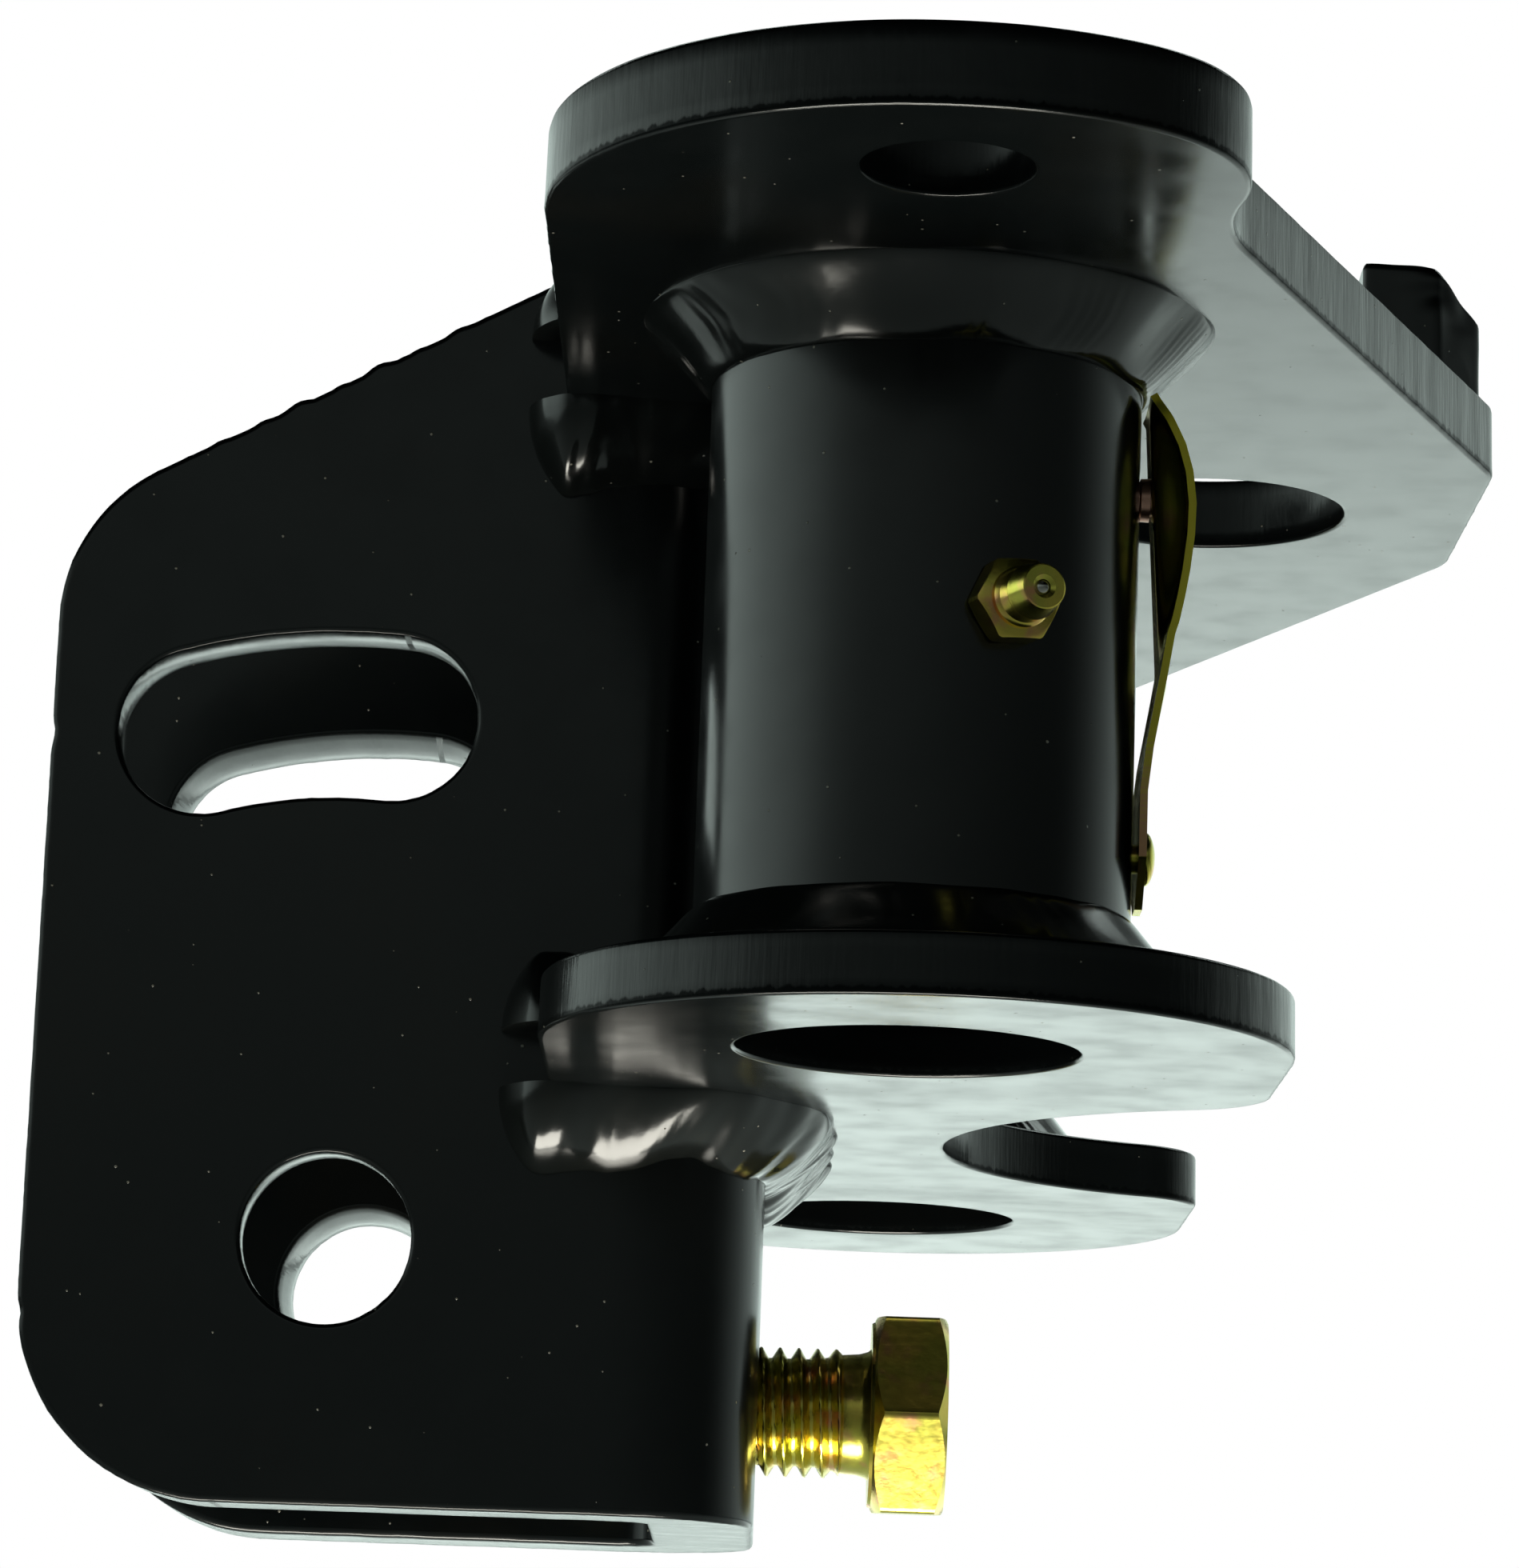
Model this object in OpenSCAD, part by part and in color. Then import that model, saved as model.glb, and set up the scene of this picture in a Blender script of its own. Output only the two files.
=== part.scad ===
// Head of a round-bar weight distribution hitch, for a 2 in (50.8 mm) square shank.
// Millimetres. +X points back towards the trailer, +Z up, and the part mirrors across Y = 0.
// Origin: centre of the lower pivot bolt hole, midway between the bracket's two cheeks.

/* [Channel bracket] */
// Clear width between the cheeks, which takes the shank
channel_gap = 51.2; // [50.9:0.1:53]
// Thickness of the bent plate
channel_t = 12.7; // [12:0.1:14]
// Front edge of the cheeks
channel_front_x = -35.5; // [-38:0.5:-32]
// Rear face of the back wall
channel_rear_x = 51; // [50:0.5:56]
// Bottom edge of the bracket
channel_bottom_z = -31; // [-34:0.5:-28]
// Top edge of the bracket
channel_top_z = 124; // [118:0.5:128]
// Outer radius of the two bends
bend_r = 17; // [15:0.5:18]
// Radius of the cheeks' lower front corner
lower_corner_r = 23.5; // [15:0.5:26]
// Radius of the cheeks' upper front corner
upper_corner_r = 21; // [15:0.5:24]
// Slope of the cheeks' upper front edge, in degrees
brow_slope = 28; // [24:0.5:32]
// Height of the sloped edge where it would meet the front edge
brow_z = 85.8; // [82:0.2:90]

/* [Pivot hole and tilt slots] */
// Radius of the pivot bolt hole at the outer faces
pivot_r = 10; // [9.8:0.1:10.4]
// Extra radius of the pivot hole at the inner faces, left by the punch
punch_flare = 0.9; // [0.2:0.1:1.2]
// Distance from the pivot hole to the middle of the tilt slots
slot_arc_r = 62.4; // [60:0.2:64]
// Half of the tilt slots' width
slot_r = 10; // [9.8:0.1:10.4]
// Slot end towards the front, in degrees from vertical
slot_front_deg = 16.4; // [12:0.2:18]
// Slot end towards the rear, in degrees from vertical
slot_rear_deg = 4.6; // [3:0.2:6]

/* [Ball plate] */
// Underside of the ball plate
ball_plate_z = 100.2; // [98:0.2:104]
// Thickness of the ball plate
ball_plate_t = 9; // [8:0.1:10]
// Front edge of the ball plate
ball_plate_front_x = 24.3; // [22:0.1:26]
// Rear edge of the ball plate
ball_plate_rear_x = 137.5; // [134:0.5:142]
// Half of the rear edge's length
ball_plate_rear_y = 23; // [20:0.5:26]
// Turn of the slanted sides from the side direction, in degrees
side_slant = 23.1; // [22:0.1:24]
// Radius of the side lobes
side_lobe_r = 41.3; // [40:0.1:42]
// Distance of the side lobes' centres from the middle
side_lobe_y = 117.5; // [115:0.5:120]
// Radius of the ball shank's hole
ball_hole_r = 17.4; // [16.5:0.1:17.6]
// Distance of the ball hole behind the pivot hole
ball_hole_x = 104; // [102:0.5:106]
// Radius of the sway control ball holes
sway_hole_r = 9; // [8.5:0.1:9.6]
// Distance of the sway control ball holes from the middle
sway_hole_y = 138.2; // [136:0.2:140]

/* [Socket plate] */
// Underside of the socket plate
socket_plate_z = 18; // [16:0.2:20]
// Thickness of the socket plate
socket_plate_t = 7; // [6:0.1:8]
// Front edge of the socket plate
socket_plate_front_x = 25.6; // [24:0.1:27]
// Radius of the lobes around the sockets
socket_lobe_r = 41.5; // [40:0.1:42]
// Radius of the notch between the lobes
notch_r = 45; // [42:0.5:46]
// Distance of the notch's centre behind the pivot hole
notch_x = 118; // [117:0.5:120]
// Radius of the corners between notch and lobes
notch_corner_r = 13; // [11:0.5:14]

/* [Spring bar sockets] */
// Outer radius of the socket tubes
tube_r = 24.15; // [24:0.05:24.3]
// Inner radius of the socket tubes
tube_bore_r = 19.55; // [19.4:0.05:19.7]
// Radius of the socket plate's holes, which guide the spring bars' round ends
socket_r = 19.05; // [18.8:0.05:19.2]
// Distance of the sockets behind the pivot hole
socket_x = 66.2; // [65.5:0.1:67]
// Distance of the sockets from the middle
socket_y = 78.6; // [77:0.1:80]

/* [Welds] */
// Leg of the ring welds around the tubes
ring_leg = 8; // [6:0.5:9]
// Leg of the welds along the bracket
seam_leg = 8; // [6:0.5:9]
// Front end of the welds along the cheeks
seam_front_x = 19.5; // [18:0.5:22]

/* [Stop lug] */
// Height of the lug on the ball plate
lug_h = 20.5; // [16:0.5:24]
// Length of the lug
lug_l = 15.5; // [12:0.5:16]
// Width of the lug
lug_w = 30; // [24:1:34]
// Cut of the lug's rear corners
lug_cut = 6; // [4:0.5:7]

/* [Adjusting bolt] */
// Height of the bolt's axis
bolt_z = -15.3; // [-16:0.1:-14.5]
// Radius over the thread, a 5/8 in size
bolt_r = 7.9; // [7.8:0.05:7.95]
// Width of the head across its flats
bolt_head_af = 23.8; // [23:0.1:24.2]
// Thickness of the head
bolt_head_t = 9.7; // [9:0.1:10.2]
// Gap between the bracket and the head at rest
bolt_out = 13.8; // [10:0.2:18]
// Length under the head
bolt_l = 38.1; // [34:0.1:44]

/* [Grease fittings] */
// Height of the fittings
fitting_z = 63.8; // [60:0.2:68]
// Turn of the fittings from the side towards the rear, in degrees
fitting_turn = 21.5; // [18:0.5:26]
// Width of the fitting's hexagon across its flats
fitting_af = 8.6; // [8:0.1:9]
// Height of the fitting's nose above the tube
fitting_h = 9.4; // [8:0.1:10]

/* [Spring clips] */
// Thickness of the spring strip
strip_t = 1; // [0.8:0.1:1.4]
// Width of the spring strip
strip_w = 15; // [12:0.5:18]
// Lower tip of the clip
clip_bottom_z = 34.6; // [34.2:0.2:36]
// Upper end of the clip
clip_top_z = 92; // [88:0.2:92.4]
// Height where the strip leaves the tube and flexes
clip_flex_z = 47; // [45:0.5:50]
// Height of the rivet
rivet_z = 40.6; // [40:0.2:42]
// Height of the lock pin
pin_z = 81.5; // [80:0.2:83]
// Radius of the lock pin
pin_r = 2.3; // [2:0.1:2.6]
// Reach of the lock pin into the socket
pin_reach = 4; // [3:0.5:6]

/* [Hidden] */

$fn = 96;
paint = [0.05, 0.055, 0.06];
weld_paint = [0.09, 0.095, 0.1];
zinc = [0.80, 0.68, 0.30];
copper = [0.72, 0.42, 0.30];
spring_steel = [0.62, 0.60, 0.52];

// Cut made a little past a face, so that no skin is left
past = 1;

gap_half = channel_gap / 2;
outer_half = gap_half + channel_t;
inner_bend_r = bend_r - channel_t;
wall_x = channel_rear_x - channel_t;
ball_plate_top = ball_plate_z + ball_plate_t;
socket_plate_top = socket_plate_z + socket_plate_t;
tube_l = ball_plate_z - socket_plate_top;

// Points of an arc about c, from angle a0 to a1, in n steps
function arc(c, r, a0, a1, n = 12) =
    [for (i = [0:n]) let (a = a0 + (a1 - a0) * i / n) c + r * [cos(a), sin(a)]];

// The same points, mirrored across the X axis and in the opposite order
function mirrored(pts) = [for (i = [len(pts) - 1:-1:0]) [pts[i][0], -pts[i][1]]];

// Unit vector at angle a
function unit(a) = [cos(a), sin(a)];

// ---- Bracket ----

// Side outline of a cheek, in X and Z
brow_corner = [channel_front_x, brow_z];
upper_tangent = upper_corner_r * tan((90 - brow_slope) / 2);
crown_r = 14;
crown_x = channel_front_x + (channel_top_z - brow_z) / tan(brow_slope);
crown_tangent = crown_r * tan(brow_slope / 2);

module cheek_outline() {
    lower_c = [channel_front_x + lower_corner_r, channel_bottom_z + lower_corner_r];
    upper_c = brow_corner + [upper_corner_r, -upper_tangent];
    crown_c = [crown_x + crown_tangent, channel_top_z - crown_r];
    polygon(concat(
        [[channel_rear_x, channel_bottom_z]],
        arc(lower_c, lower_corner_r, 270, 180),
        arc(upper_c, upper_corner_r, 180, 90 + brow_slope),
        arc(crown_c, crown_r, 90 + brow_slope, 90, 6),
        [[channel_rear_x, channel_top_z]]
    ));
}

// Upright block with its two rear edges rounded, open-ended in front
module bent_block(rear_x, half_w, r) {
    h = channel_top_z - channel_bottom_z;
    front = channel_front_x - past;
    translate([0, 0, channel_bottom_z]) {
        translate([front, -half_w, 0]) cube([rear_x - r - front, 2 * half_w, h]);
        translate([front, -(half_w - r), 0]) cube([rear_x - front, 2 * (half_w - r), h]);
        for (s = [-1, 1]) translate([rear_x - r, s * (half_w - r), 0]) cylinder(r = r, h = h);
    }
}

// Pivot hole through one cheek, straight at the outer face and flared inwards
module pivot_cut(s) {
    rotate([-90 * s, 0, 0]) {
        cylinder(r = pivot_r, h = outer_half + past);
        translate([0, 0, gap_half - past])
            cylinder(r1 = pivot_r + punch_flare, r2 = pivot_r, h = channel_t / 2 + past);
    }
}

// Outline of a tilt slot, curved about the pivot hole, in X and Z
slot_front_a = 90 + slot_front_deg;
slot_rear_a = 90 - slot_rear_deg;
slot_outline = concat(
    arc([0, 0], slot_arc_r + slot_r, slot_rear_a, slot_front_a),
    arc(slot_arc_r * unit(slot_front_a), slot_r, slot_front_a, slot_front_a + 180, 24),
    arc([0, 0], slot_arc_r - slot_r, slot_front_a, slot_rear_a),
    arc(slot_arc_r * unit(slot_rear_a), slot_r, slot_rear_a - 180, slot_rear_a, 24)
);

// Tilt slot through both cheeks
module slot_cut() {
    l = 2 * (outer_half + past);
    rotate([90, 0, 0]) translate([0, 0, -l / 2]) linear_extrude(l) polygon(slot_outline);
}

module channel_bracket() color(paint) difference() {
    intersection() {
        bent_block(channel_rear_x, outer_half, bend_r);
        rotate([90, 0, 0]) translate([0, 0, -outer_half])
            linear_extrude(2 * outer_half) cheek_outline();
    }
    translate([0, 0, -past]) bent_block(wall_x, gap_half, inner_bend_r);
    translate([0, 0, past]) bent_block(wall_x, gap_half, inner_bend_r);
    for (s = [-1, 1]) pivot_cut(s);
    slot_cut();
    translate([wall_x - past, 0, bolt_z]) rotate([0, 90, 0])
        cylinder(r = bolt_r + thread_gap, h = channel_t + 2 * past);
}

// Space that a plate leaves for the bracket
module bracket_cut(front_x, z, t) {
    h = t + 2 * past;
    translate([front_x - past, 0, z - past]) {
        l = channel_rear_x - front_x + past;
        translate([0, -outer_half, 0]) cube([l - bend_r, 2 * outer_half, h]);
        translate([0, bend_r - outer_half, 0]) cube([l, 2 * (outer_half - bend_r), h]);
        for (s = [-1, 1]) translate([l - bend_r, s * (outer_half - bend_r), 0])
            cylinder(r = bend_r, h = h);
    }
}

// ---- Plates ----

// Centres of the arcs that shape one side of the ball plate
side_c = [ball_plate_front_x + side_lobe_r, side_lobe_y];
shoulder_r = 23;
shoulder_a = 60.8;
shoulder_c = side_c + (side_lobe_r - shoulder_r) * unit(shoulder_a);
side_n = unit(side_slant);
side_d = unit(90 + side_slant);
rear_corner = [ball_plate_rear_x, ball_plate_rear_y];
waist_r = 30;
// The waist arc touches the slanted side and the shoulder: its centre lies on a line beside the side
waist_base = ((side_n * rear_corner) + waist_r) * side_n;
to_shoulder = shoulder_c - waist_base;
along = to_shoulder * side_d;
across = to_shoulder * side_n;
waist_c = waist_base + (along - sqrt(pow(waist_r + shoulder_r, 2) - across * across)) * side_d;
waist_dir = waist_c - shoulder_c;
waist_a = atan2(waist_dir[1], waist_dir[0]);
rear_corner_r = 12;
rear_tangent = rear_corner_r * tan(side_slant / 2);

ball_plate_side = concat(
    [[ball_plate_front_x, 0]],
    arc(side_c, side_lobe_r, 180, shoulder_a, 24),
    arc(shoulder_c, shoulder_r, shoulder_a, waist_a, 12),
    arc(waist_c, waist_r, waist_a + 180, 180 + side_slant, 8),
    arc(rear_corner + [-rear_corner_r, -rear_tangent], rear_corner_r, side_slant, 0, 4)
);

module ball_plate() color(paint) difference() {
    translate([0, 0, ball_plate_z]) linear_extrude(ball_plate_t)
        polygon(concat(ball_plate_side, mirrored(ball_plate_side)));
    bracket_cut(ball_plate_front_x, ball_plate_z, ball_plate_t);
    translate([ball_hole_x, 0, ball_plate_z - past])
        cylinder(r = ball_hole_r, h = ball_plate_t + 2 * past);
    for (s = [-1, 1]) translate([socket_x, s * sway_hole_y, ball_plate_z - past])
        cylinder(r = sway_hole_r, h = ball_plate_t + 2 * past);
}

// Arcs that shape one side of the socket plate
lobe_c = [socket_plate_front_x + socket_lobe_r, socket_y];
lobe_rear_x = lobe_c[0] + socket_lobe_r;
notch_c = [notch_x, 0];
corner_x = lobe_rear_x - notch_corner_r;
corner_c = [corner_x, sqrt(pow(notch_r + notch_corner_r, 2) - pow(notch_x - corner_x, 2))];
corner_dir = corner_c - notch_c;
corner_a = atan2(corner_dir[1], corner_dir[0]);

socket_plate_side = concat(
    [[socket_plate_front_x, 0]],
    arc(lobe_c, socket_lobe_r, 180, 0, 40),
    arc(corner_c, notch_corner_r, 0, corner_a - 180, 10),
    arc(notch_c, notch_r, corner_a, 180, 14)
);

module socket_plate() color(paint) difference() {
    translate([0, 0, socket_plate_z]) linear_extrude(socket_plate_t)
        polygon(concat(socket_plate_side, mirrored([for (i = [0:len(socket_plate_side) - 2])
            socket_plate_side[i]])));
    bracket_cut(socket_plate_front_x, socket_plate_z, socket_plate_t);
    for (s = [-1, 1]) translate([socket_x, s * socket_y, socket_plate_z - past])
        cylinder(r = socket_r, h = socket_plate_t + 2 * past);
}

// ---- Sockets ----

// Sides of the hitch, as directions along Y
left = -1;
right = 1;

// Radii of the holes in a tube: the pin's is wide, because the pin tilts as it leaves
fitting_thread_r = 3.1;
pin_hole_r = pin_r + 1.5;
rivet_r = 1.6;

// Turns a shape's +X, set at a tube's axis, to a fitting's direction
module at_fitting(s)
    translate([socket_x, s * socket_y, fitting_z]) rotate([0, 0, s * (90 - fitting_turn)]) children();

module socket_tube(s) color(paint) difference() {
    translate([socket_x, s * socket_y, socket_plate_top]) cylinder(r = tube_r, h = tube_l);
    translate([socket_x, s * socket_y, socket_plate_top - past])
        cylinder(r = tube_bore_r, h = tube_l + 2 * past);
    translate([socket_x, s * socket_y, pin_z]) rotate([0, 90, 0])
        cylinder(r = pin_hole_r, h = tube_r + past);
    translate([socket_x, s * socket_y, rivet_z]) rotate([0, 90, 0])
        cylinder(r = rivet_r, h = tube_r + past);
    at_fitting(s) rotate([0, 90, 0]) cylinder(r = fitting_thread_r, h = tube_r + past);
}

// ---- Welds ----

// Ring bead in the corner between a tube and a plate; up is 1 above the plate and -1 below
module ring_weld(s, z, up) color(weld_paint)
    translate([socket_x, s * socket_y, z]) rotate_extrude()
        polygon([[tube_r, 0], [tube_r + ring_leg, 0], [tube_r, up * ring_leg]]);

// Bead along the bracket's outside, on the face of a plate at z
module seam_weld(z, up) color(weld_paint) {
    straight = channel_rear_x - bend_r;
    for (s = [-1, 1]) {
        translate([seam_front_x, 0, 0]) rotate([90, 0, 90])
            linear_extrude(straight - seam_front_x) polygon([
                [s * outer_half, z], [s * (outer_half + seam_leg), z], [s * outer_half, z + up * seam_leg]
            ]);
        translate([straight, s * (outer_half - bend_r), z]) intersection() {
            rotate_extrude()
                polygon([[bend_r, 0], [bend_r + seam_leg, 0], [bend_r, up * seam_leg]]);
            translate([0, s > 0 ? 0 : -2 * bend_r, -2 * seam_leg])
                cube([2 * bend_r, 2 * bend_r, 4 * seam_leg]);
        }
    }
    translate([0, outer_half - bend_r, 0]) rotate([90, 0, 0])
        linear_extrude(2 * (outer_half - bend_r)) polygon([
            [channel_rear_x, z], [channel_rear_x + seam_leg, z], [channel_rear_x, z + up * seam_leg]
        ]);
}

// ---- Stop lug ----

module stop_lug() color(paint) {
    x0 = ball_plate_rear_x - lug_l;
    intersection() {
        translate([0, 0, ball_plate_top]) linear_extrude(lug_h) polygon([
            [x0, -lug_w / 2], [ball_plate_rear_x - lug_cut, -lug_w / 2],
            [ball_plate_rear_x, lug_cut - lug_w / 2], [ball_plate_rear_x, lug_w / 2 - lug_cut],
            [ball_plate_rear_x - lug_cut, lug_w / 2], [x0, lug_w / 2]
        ]);
        rotate([90, 0, 0]) translate([0, ball_plate_top, -lug_w / 2]) linear_extrude(lug_w) polygon([
            [x0, 0], [ball_plate_rear_x, 0], [ball_plate_rear_x, lug_h - lug_cut],
            [ball_plate_rear_x - lug_cut, lug_h], [x0, lug_h]
        ]);
    }
}

// Beads along the lug's two sides
lug_leg = 3.5;
module stop_lug_weld() color(weld_paint)
    for (s = [-1, 1]) translate([ball_plate_rear_x - lug_l, 0, ball_plate_top]) rotate([90, 0, 90])
        linear_extrude(lug_l - lug_cut)
            polygon([[s * lug_w / 2, 0], [s * (lug_w / 2 + lug_leg), 0], [s * lug_w / 2, lug_leg]]);

// ---- Adjusting bolt ----

// Clearance of the thread in the bracket
thread_gap = 0.05;
head_x = channel_rear_x + bolt_out;
neck_l = 3.6;
neck_r = bolt_r - 0.35;
tip_cut = 1.6;
hex_circle = 2 / sqrt(3);

module adjusting_bolt() color(zinc) translate([head_x, 0, bolt_z]) rotate([0, -90, 0]) {
    intersection() {
        translate([0, 0, -bolt_head_t]) rotate([0, 0, 30])
            cylinder(r = bolt_head_af / 2 * hex_circle, h = bolt_head_t, $fn = 6);
        translate([0, 0, -bolt_head_t]) union() {
            cylinder(r1 = bolt_head_af / 2, r2 = bolt_head_af / 2 + 4, h = 2.4);
            translate([0, 0, 2.4]) cylinder(r = bolt_head_af / 2 + 4, h = bolt_head_t);
        }
    }
    translate([0, 0, -past]) cylinder(r = neck_r, h = neck_l + 2 * past);
    translate([0, 0, neck_l]) cylinder(r = bolt_r, h = bolt_l - neck_l - tip_cut);
    translate([0, 0, bolt_l - tip_cut]) cylinder(r1 = bolt_r, r2 = bolt_r - tip_cut, h = tip_cut);
}

// ---- Grease fittings ----

fitting_hex_h = 3.2;
neck_base_r = 3.3;
neck_base_h = 1;
groove_r = 2.5;
groove_z = 5.6;
nose_r = 3.1;
nose_h = 0.9;
tip_r = 2.1;
fitting_bore_r = 1.05;
check_r = 1;
mouth_r = 0.75;
mouth_l = 0.3;
fitting_deep = 4;
// The ball rests just short of the mouth's rim
check_x = tube_r + fitting_h - mouth_l - sqrt(pow(check_r, 2) - pow(mouth_r, 2)) - 0.03;
spring_wire_r = 0.2;
spring_turns = 5;
spring_mid_r = 0.7;
spring_l = 4.5;

// Body with its hexagon, neck and nose, bored through for the ball and spring
module fitting_body(s) color(zinc) at_fitting(s) rotate([0, 90, 0]) difference() {
    union() {
        translate([0, 0, tube_r - fitting_deep]) cylinder(r = fitting_thread_r, h = fitting_deep);
        translate([0, 0, tube_r]) cylinder(r = fitting_af / 2 * hex_circle, h = fitting_hex_h, $fn = 6);
        translate([0, 0, tube_r + fitting_hex_h]) cylinder(r = neck_base_r, h = neck_base_h);
        translate([0, 0, tube_r + fitting_hex_h + neck_base_h])
            cylinder(r1 = neck_base_r, r2 = groove_r, h = groove_z - fitting_hex_h - neck_base_h);
        translate([0, 0, tube_r + groove_z]) cylinder(r1 = groove_r, r2 = nose_r, h = nose_h);
        translate([0, 0, tube_r + groove_z + nose_h])
            cylinder(r1 = nose_r, r2 = tip_r, h = fitting_h - groove_z - nose_h);
    }
    translate([0, 0, tube_r - fitting_deep - past])
        cylinder(r = fitting_bore_r, h = fitting_deep + fitting_h - mouth_l + past);
    translate([0, 0, tube_r]) cylinder(r = mouth_r, h = fitting_h + past);
}

module fitting_ball(s) color(spring_steel) at_fitting(s)
    translate([check_x, 0, 0]) sphere(r = check_r, $fn = 32);

// Coil spring behind the ball, as a stack of rings
module fitting_spring(s) color(spring_steel) at_fitting(s) rotate([0, 90, 0])
    translate([0, 0, check_x - check_r - spring_l])
        for (i = [0:spring_turns - 1])
            translate([0, 0, spring_wire_r + i * (spring_l - 2 * spring_wire_r) / (spring_turns - 1)])
                rotate_extrude($fn = 24) translate([spring_mid_r, 0]) circle(r = spring_wire_r, $fn = 13);

// ---- Spring clips ----

// Gap between the tube's rearmost line and the strip
strip_lift = 0.3;
strip_x = socket_x + tube_r + strip_lift;
rivet_head_r = 3;
rivet_head_h = 1.4;
leaf_clear = 0.05;

// Sides of the leaf, as distances from the strip's line: flat up to the grip, then bowed out and back
grip_z = 60;
side_line = [
    [0, clip_flex_z + leaf_clear], [2.2, grip_z], [3.2, 66], [4.8, 72],
    [5.5, 79.5], [4.8, 85], [2.8, 89.5], [0.6, clip_top_z]
];
// Middle of the leaf above the grip's lower end, which turns back towards the tube and holds the pin
middle_line = [[2.2, grip_z], [0.4, clip_top_z]];
middle_half_w = 4;

// The same points in the opposite order, moved out by the strip's thickness
function outer_line(pts) = [for (i = [len(pts) - 1:-1:0]) pts[i] + [strip_t, 0]];

// Outline in X and Z, with X from the strip's line, made w wide
module across(outline, w)
    translate([strip_x, 0, 0]) rotate([90, 0, 0]) translate([0, 0, -w / 2])
        linear_extrude(w) polygon(outline);

// Strip of width w that follows points in X and Z
module strip(pts, w) across(concat(pts, outer_line(pts)), w);

// Foot of the clip: it lies along the tube, and its lower end narrows to a point
module clip_foot(s) color(zinc) translate([0, s * socket_y, 0]) difference() {
    intersection() {
        strip([[0, clip_bottom_z], [0, clip_flex_z]], strip_w);
        rotate([90, 0, 90]) translate([0, 0, strip_x - past]) linear_extrude(strip_t + 2 * past)
            polygon([
                [-2, clip_bottom_z], [2, clip_bottom_z], [strip_w / 2, clip_bottom_z + 5],
                [strip_w / 2, clip_flex_z], [-strip_w / 2, clip_flex_z],
                [-strip_w / 2, clip_bottom_z + 5]
            ]);
    }
    translate([strip_x - past, 0, rivet_z]) rotate([0, 90, 0])
        cylinder(r = rivet_r, h = strip_t + 2 * past);
}

module clip_rivet(s) color(zinc) translate([0, s * socket_y, rivet_z]) rotate([0, 90, 0]) {
    tail_x = socket_x + tube_bore_r + 0.5;
    translate([0, 0, tail_x]) cylinder(r = rivet_r, h = strip_x + strip_t - tail_x + past);
    translate([0, 0, strip_x + strip_t]) intersection() {
        scale([1, 1, rivet_head_h / rivet_head_r]) sphere(r = rivet_head_r);
        translate([0, 0, rivet_head_r]) cube(2 * rivet_head_r, center = true);
    }
}

// Leaf of the clip: above the grip's lower end its sides bow out as finger holds
module clip_leaf(s) color(zinc) translate([0, s * socket_y, 0]) difference() {
    union() {
        difference() {
            strip(side_line, strip_w);
            translate([strip_x, -middle_half_w, grip_z])
                cube([socket_x, 2 * middle_half_w, clip_top_z - grip_z + past]);
        }
        strip(middle_line, 2 * middle_half_w);
        difference() {
            across(concat(middle_line, outer_line(side_line)), 2 * (middle_half_w + strip_t));
            translate([strip_x - past, -middle_half_w, clip_flex_z])
                cube([socket_x, 2 * middle_half_w, clip_top_z - clip_flex_z + past]);
        }
    }
    translate([strip_x - past, 0, pin_z]) rotate([0, 90, 0])
        cylinder(r = pin_r, h = middle_line[0][0] + strip_t + 2 * past);
}

// Stepped pin held by the leaf; its nose reaches into the socket
module lock_pin(s) color(copper) translate([0, s * socket_y, pin_z]) rotate([0, 90, 0]) {
    nose_x = socket_x + tube_bore_r - pin_reach;
    nose_l = 1;
    body_x = nose_x + nose_l;
    head_x = strip_x + strip_t + 1.1;
    head_r = pin_r + 0.6;
    head_h = 1;
    translate([0, 0, nose_x]) cylinder(r1 = pin_r - nose_l, r2 = pin_r, h = nose_l);
    translate([0, 0, body_x]) cylinder(r = pin_r, h = head_x - body_x);
    translate([0, 0, head_x]) cylinder(r = head_r, h = head_h);
}

channel_bracket();
ball_plate();
socket_plate();
socket_tube(left);  // left_socket_tube
socket_tube(right);  // right_socket_tube
ring_weld(left, ball_plate_z, -1);  // left_upper_ring_weld
ring_weld(left, socket_plate_top, 1);  // left_lower_ring_weld
ring_weld(right, ball_plate_z, -1);  // right_upper_ring_weld
ring_weld(right, socket_plate_top, 1);  // right_lower_ring_weld
seam_weld(ball_plate_z, -1);  // ball_plate_lower_weld
seam_weld(ball_plate_top, 1);  // ball_plate_upper_weld
seam_weld(socket_plate_z, -1);  // socket_plate_lower_weld
seam_weld(socket_plate_top, 1);  // socket_plate_upper_weld
stop_lug();
stop_lug_weld();
adjusting_bolt();
fitting_body(left);  // left_fitting_body
fitting_ball(left);  // left_fitting_ball
fitting_spring(left);  // left_fitting_spring
fitting_body(right);  // right_fitting_body
fitting_ball(right);  // right_fitting_ball
fitting_spring(right);  // right_fitting_spring
clip_foot(left);  // left_clip_foot
clip_rivet(left);  // left_clip_rivet
clip_leaf(left);  // left_clip_leaf
lock_pin(left);  // left_lock_pin
clip_foot(right);  // right_clip_foot
clip_rivet(right);  // right_clip_rivet
clip_leaf(right);  // right_clip_leaf
lock_pin(right);  // right_lock_pin
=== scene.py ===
"""Looks of a weight distribution hitch head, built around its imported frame.

Shapes are worked out in millimetres, in the frame's own axes, and become metres when a mesh is made.
"""

import logging
import math
from dataclasses import dataclass
from enum import Enum
from typing import Callable, Sequence

import bmesh
import bpy
import numpy as np
from mathutils import Matrix, Vector
from mathutils.geometry import delaunay_2d_cdt


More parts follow.
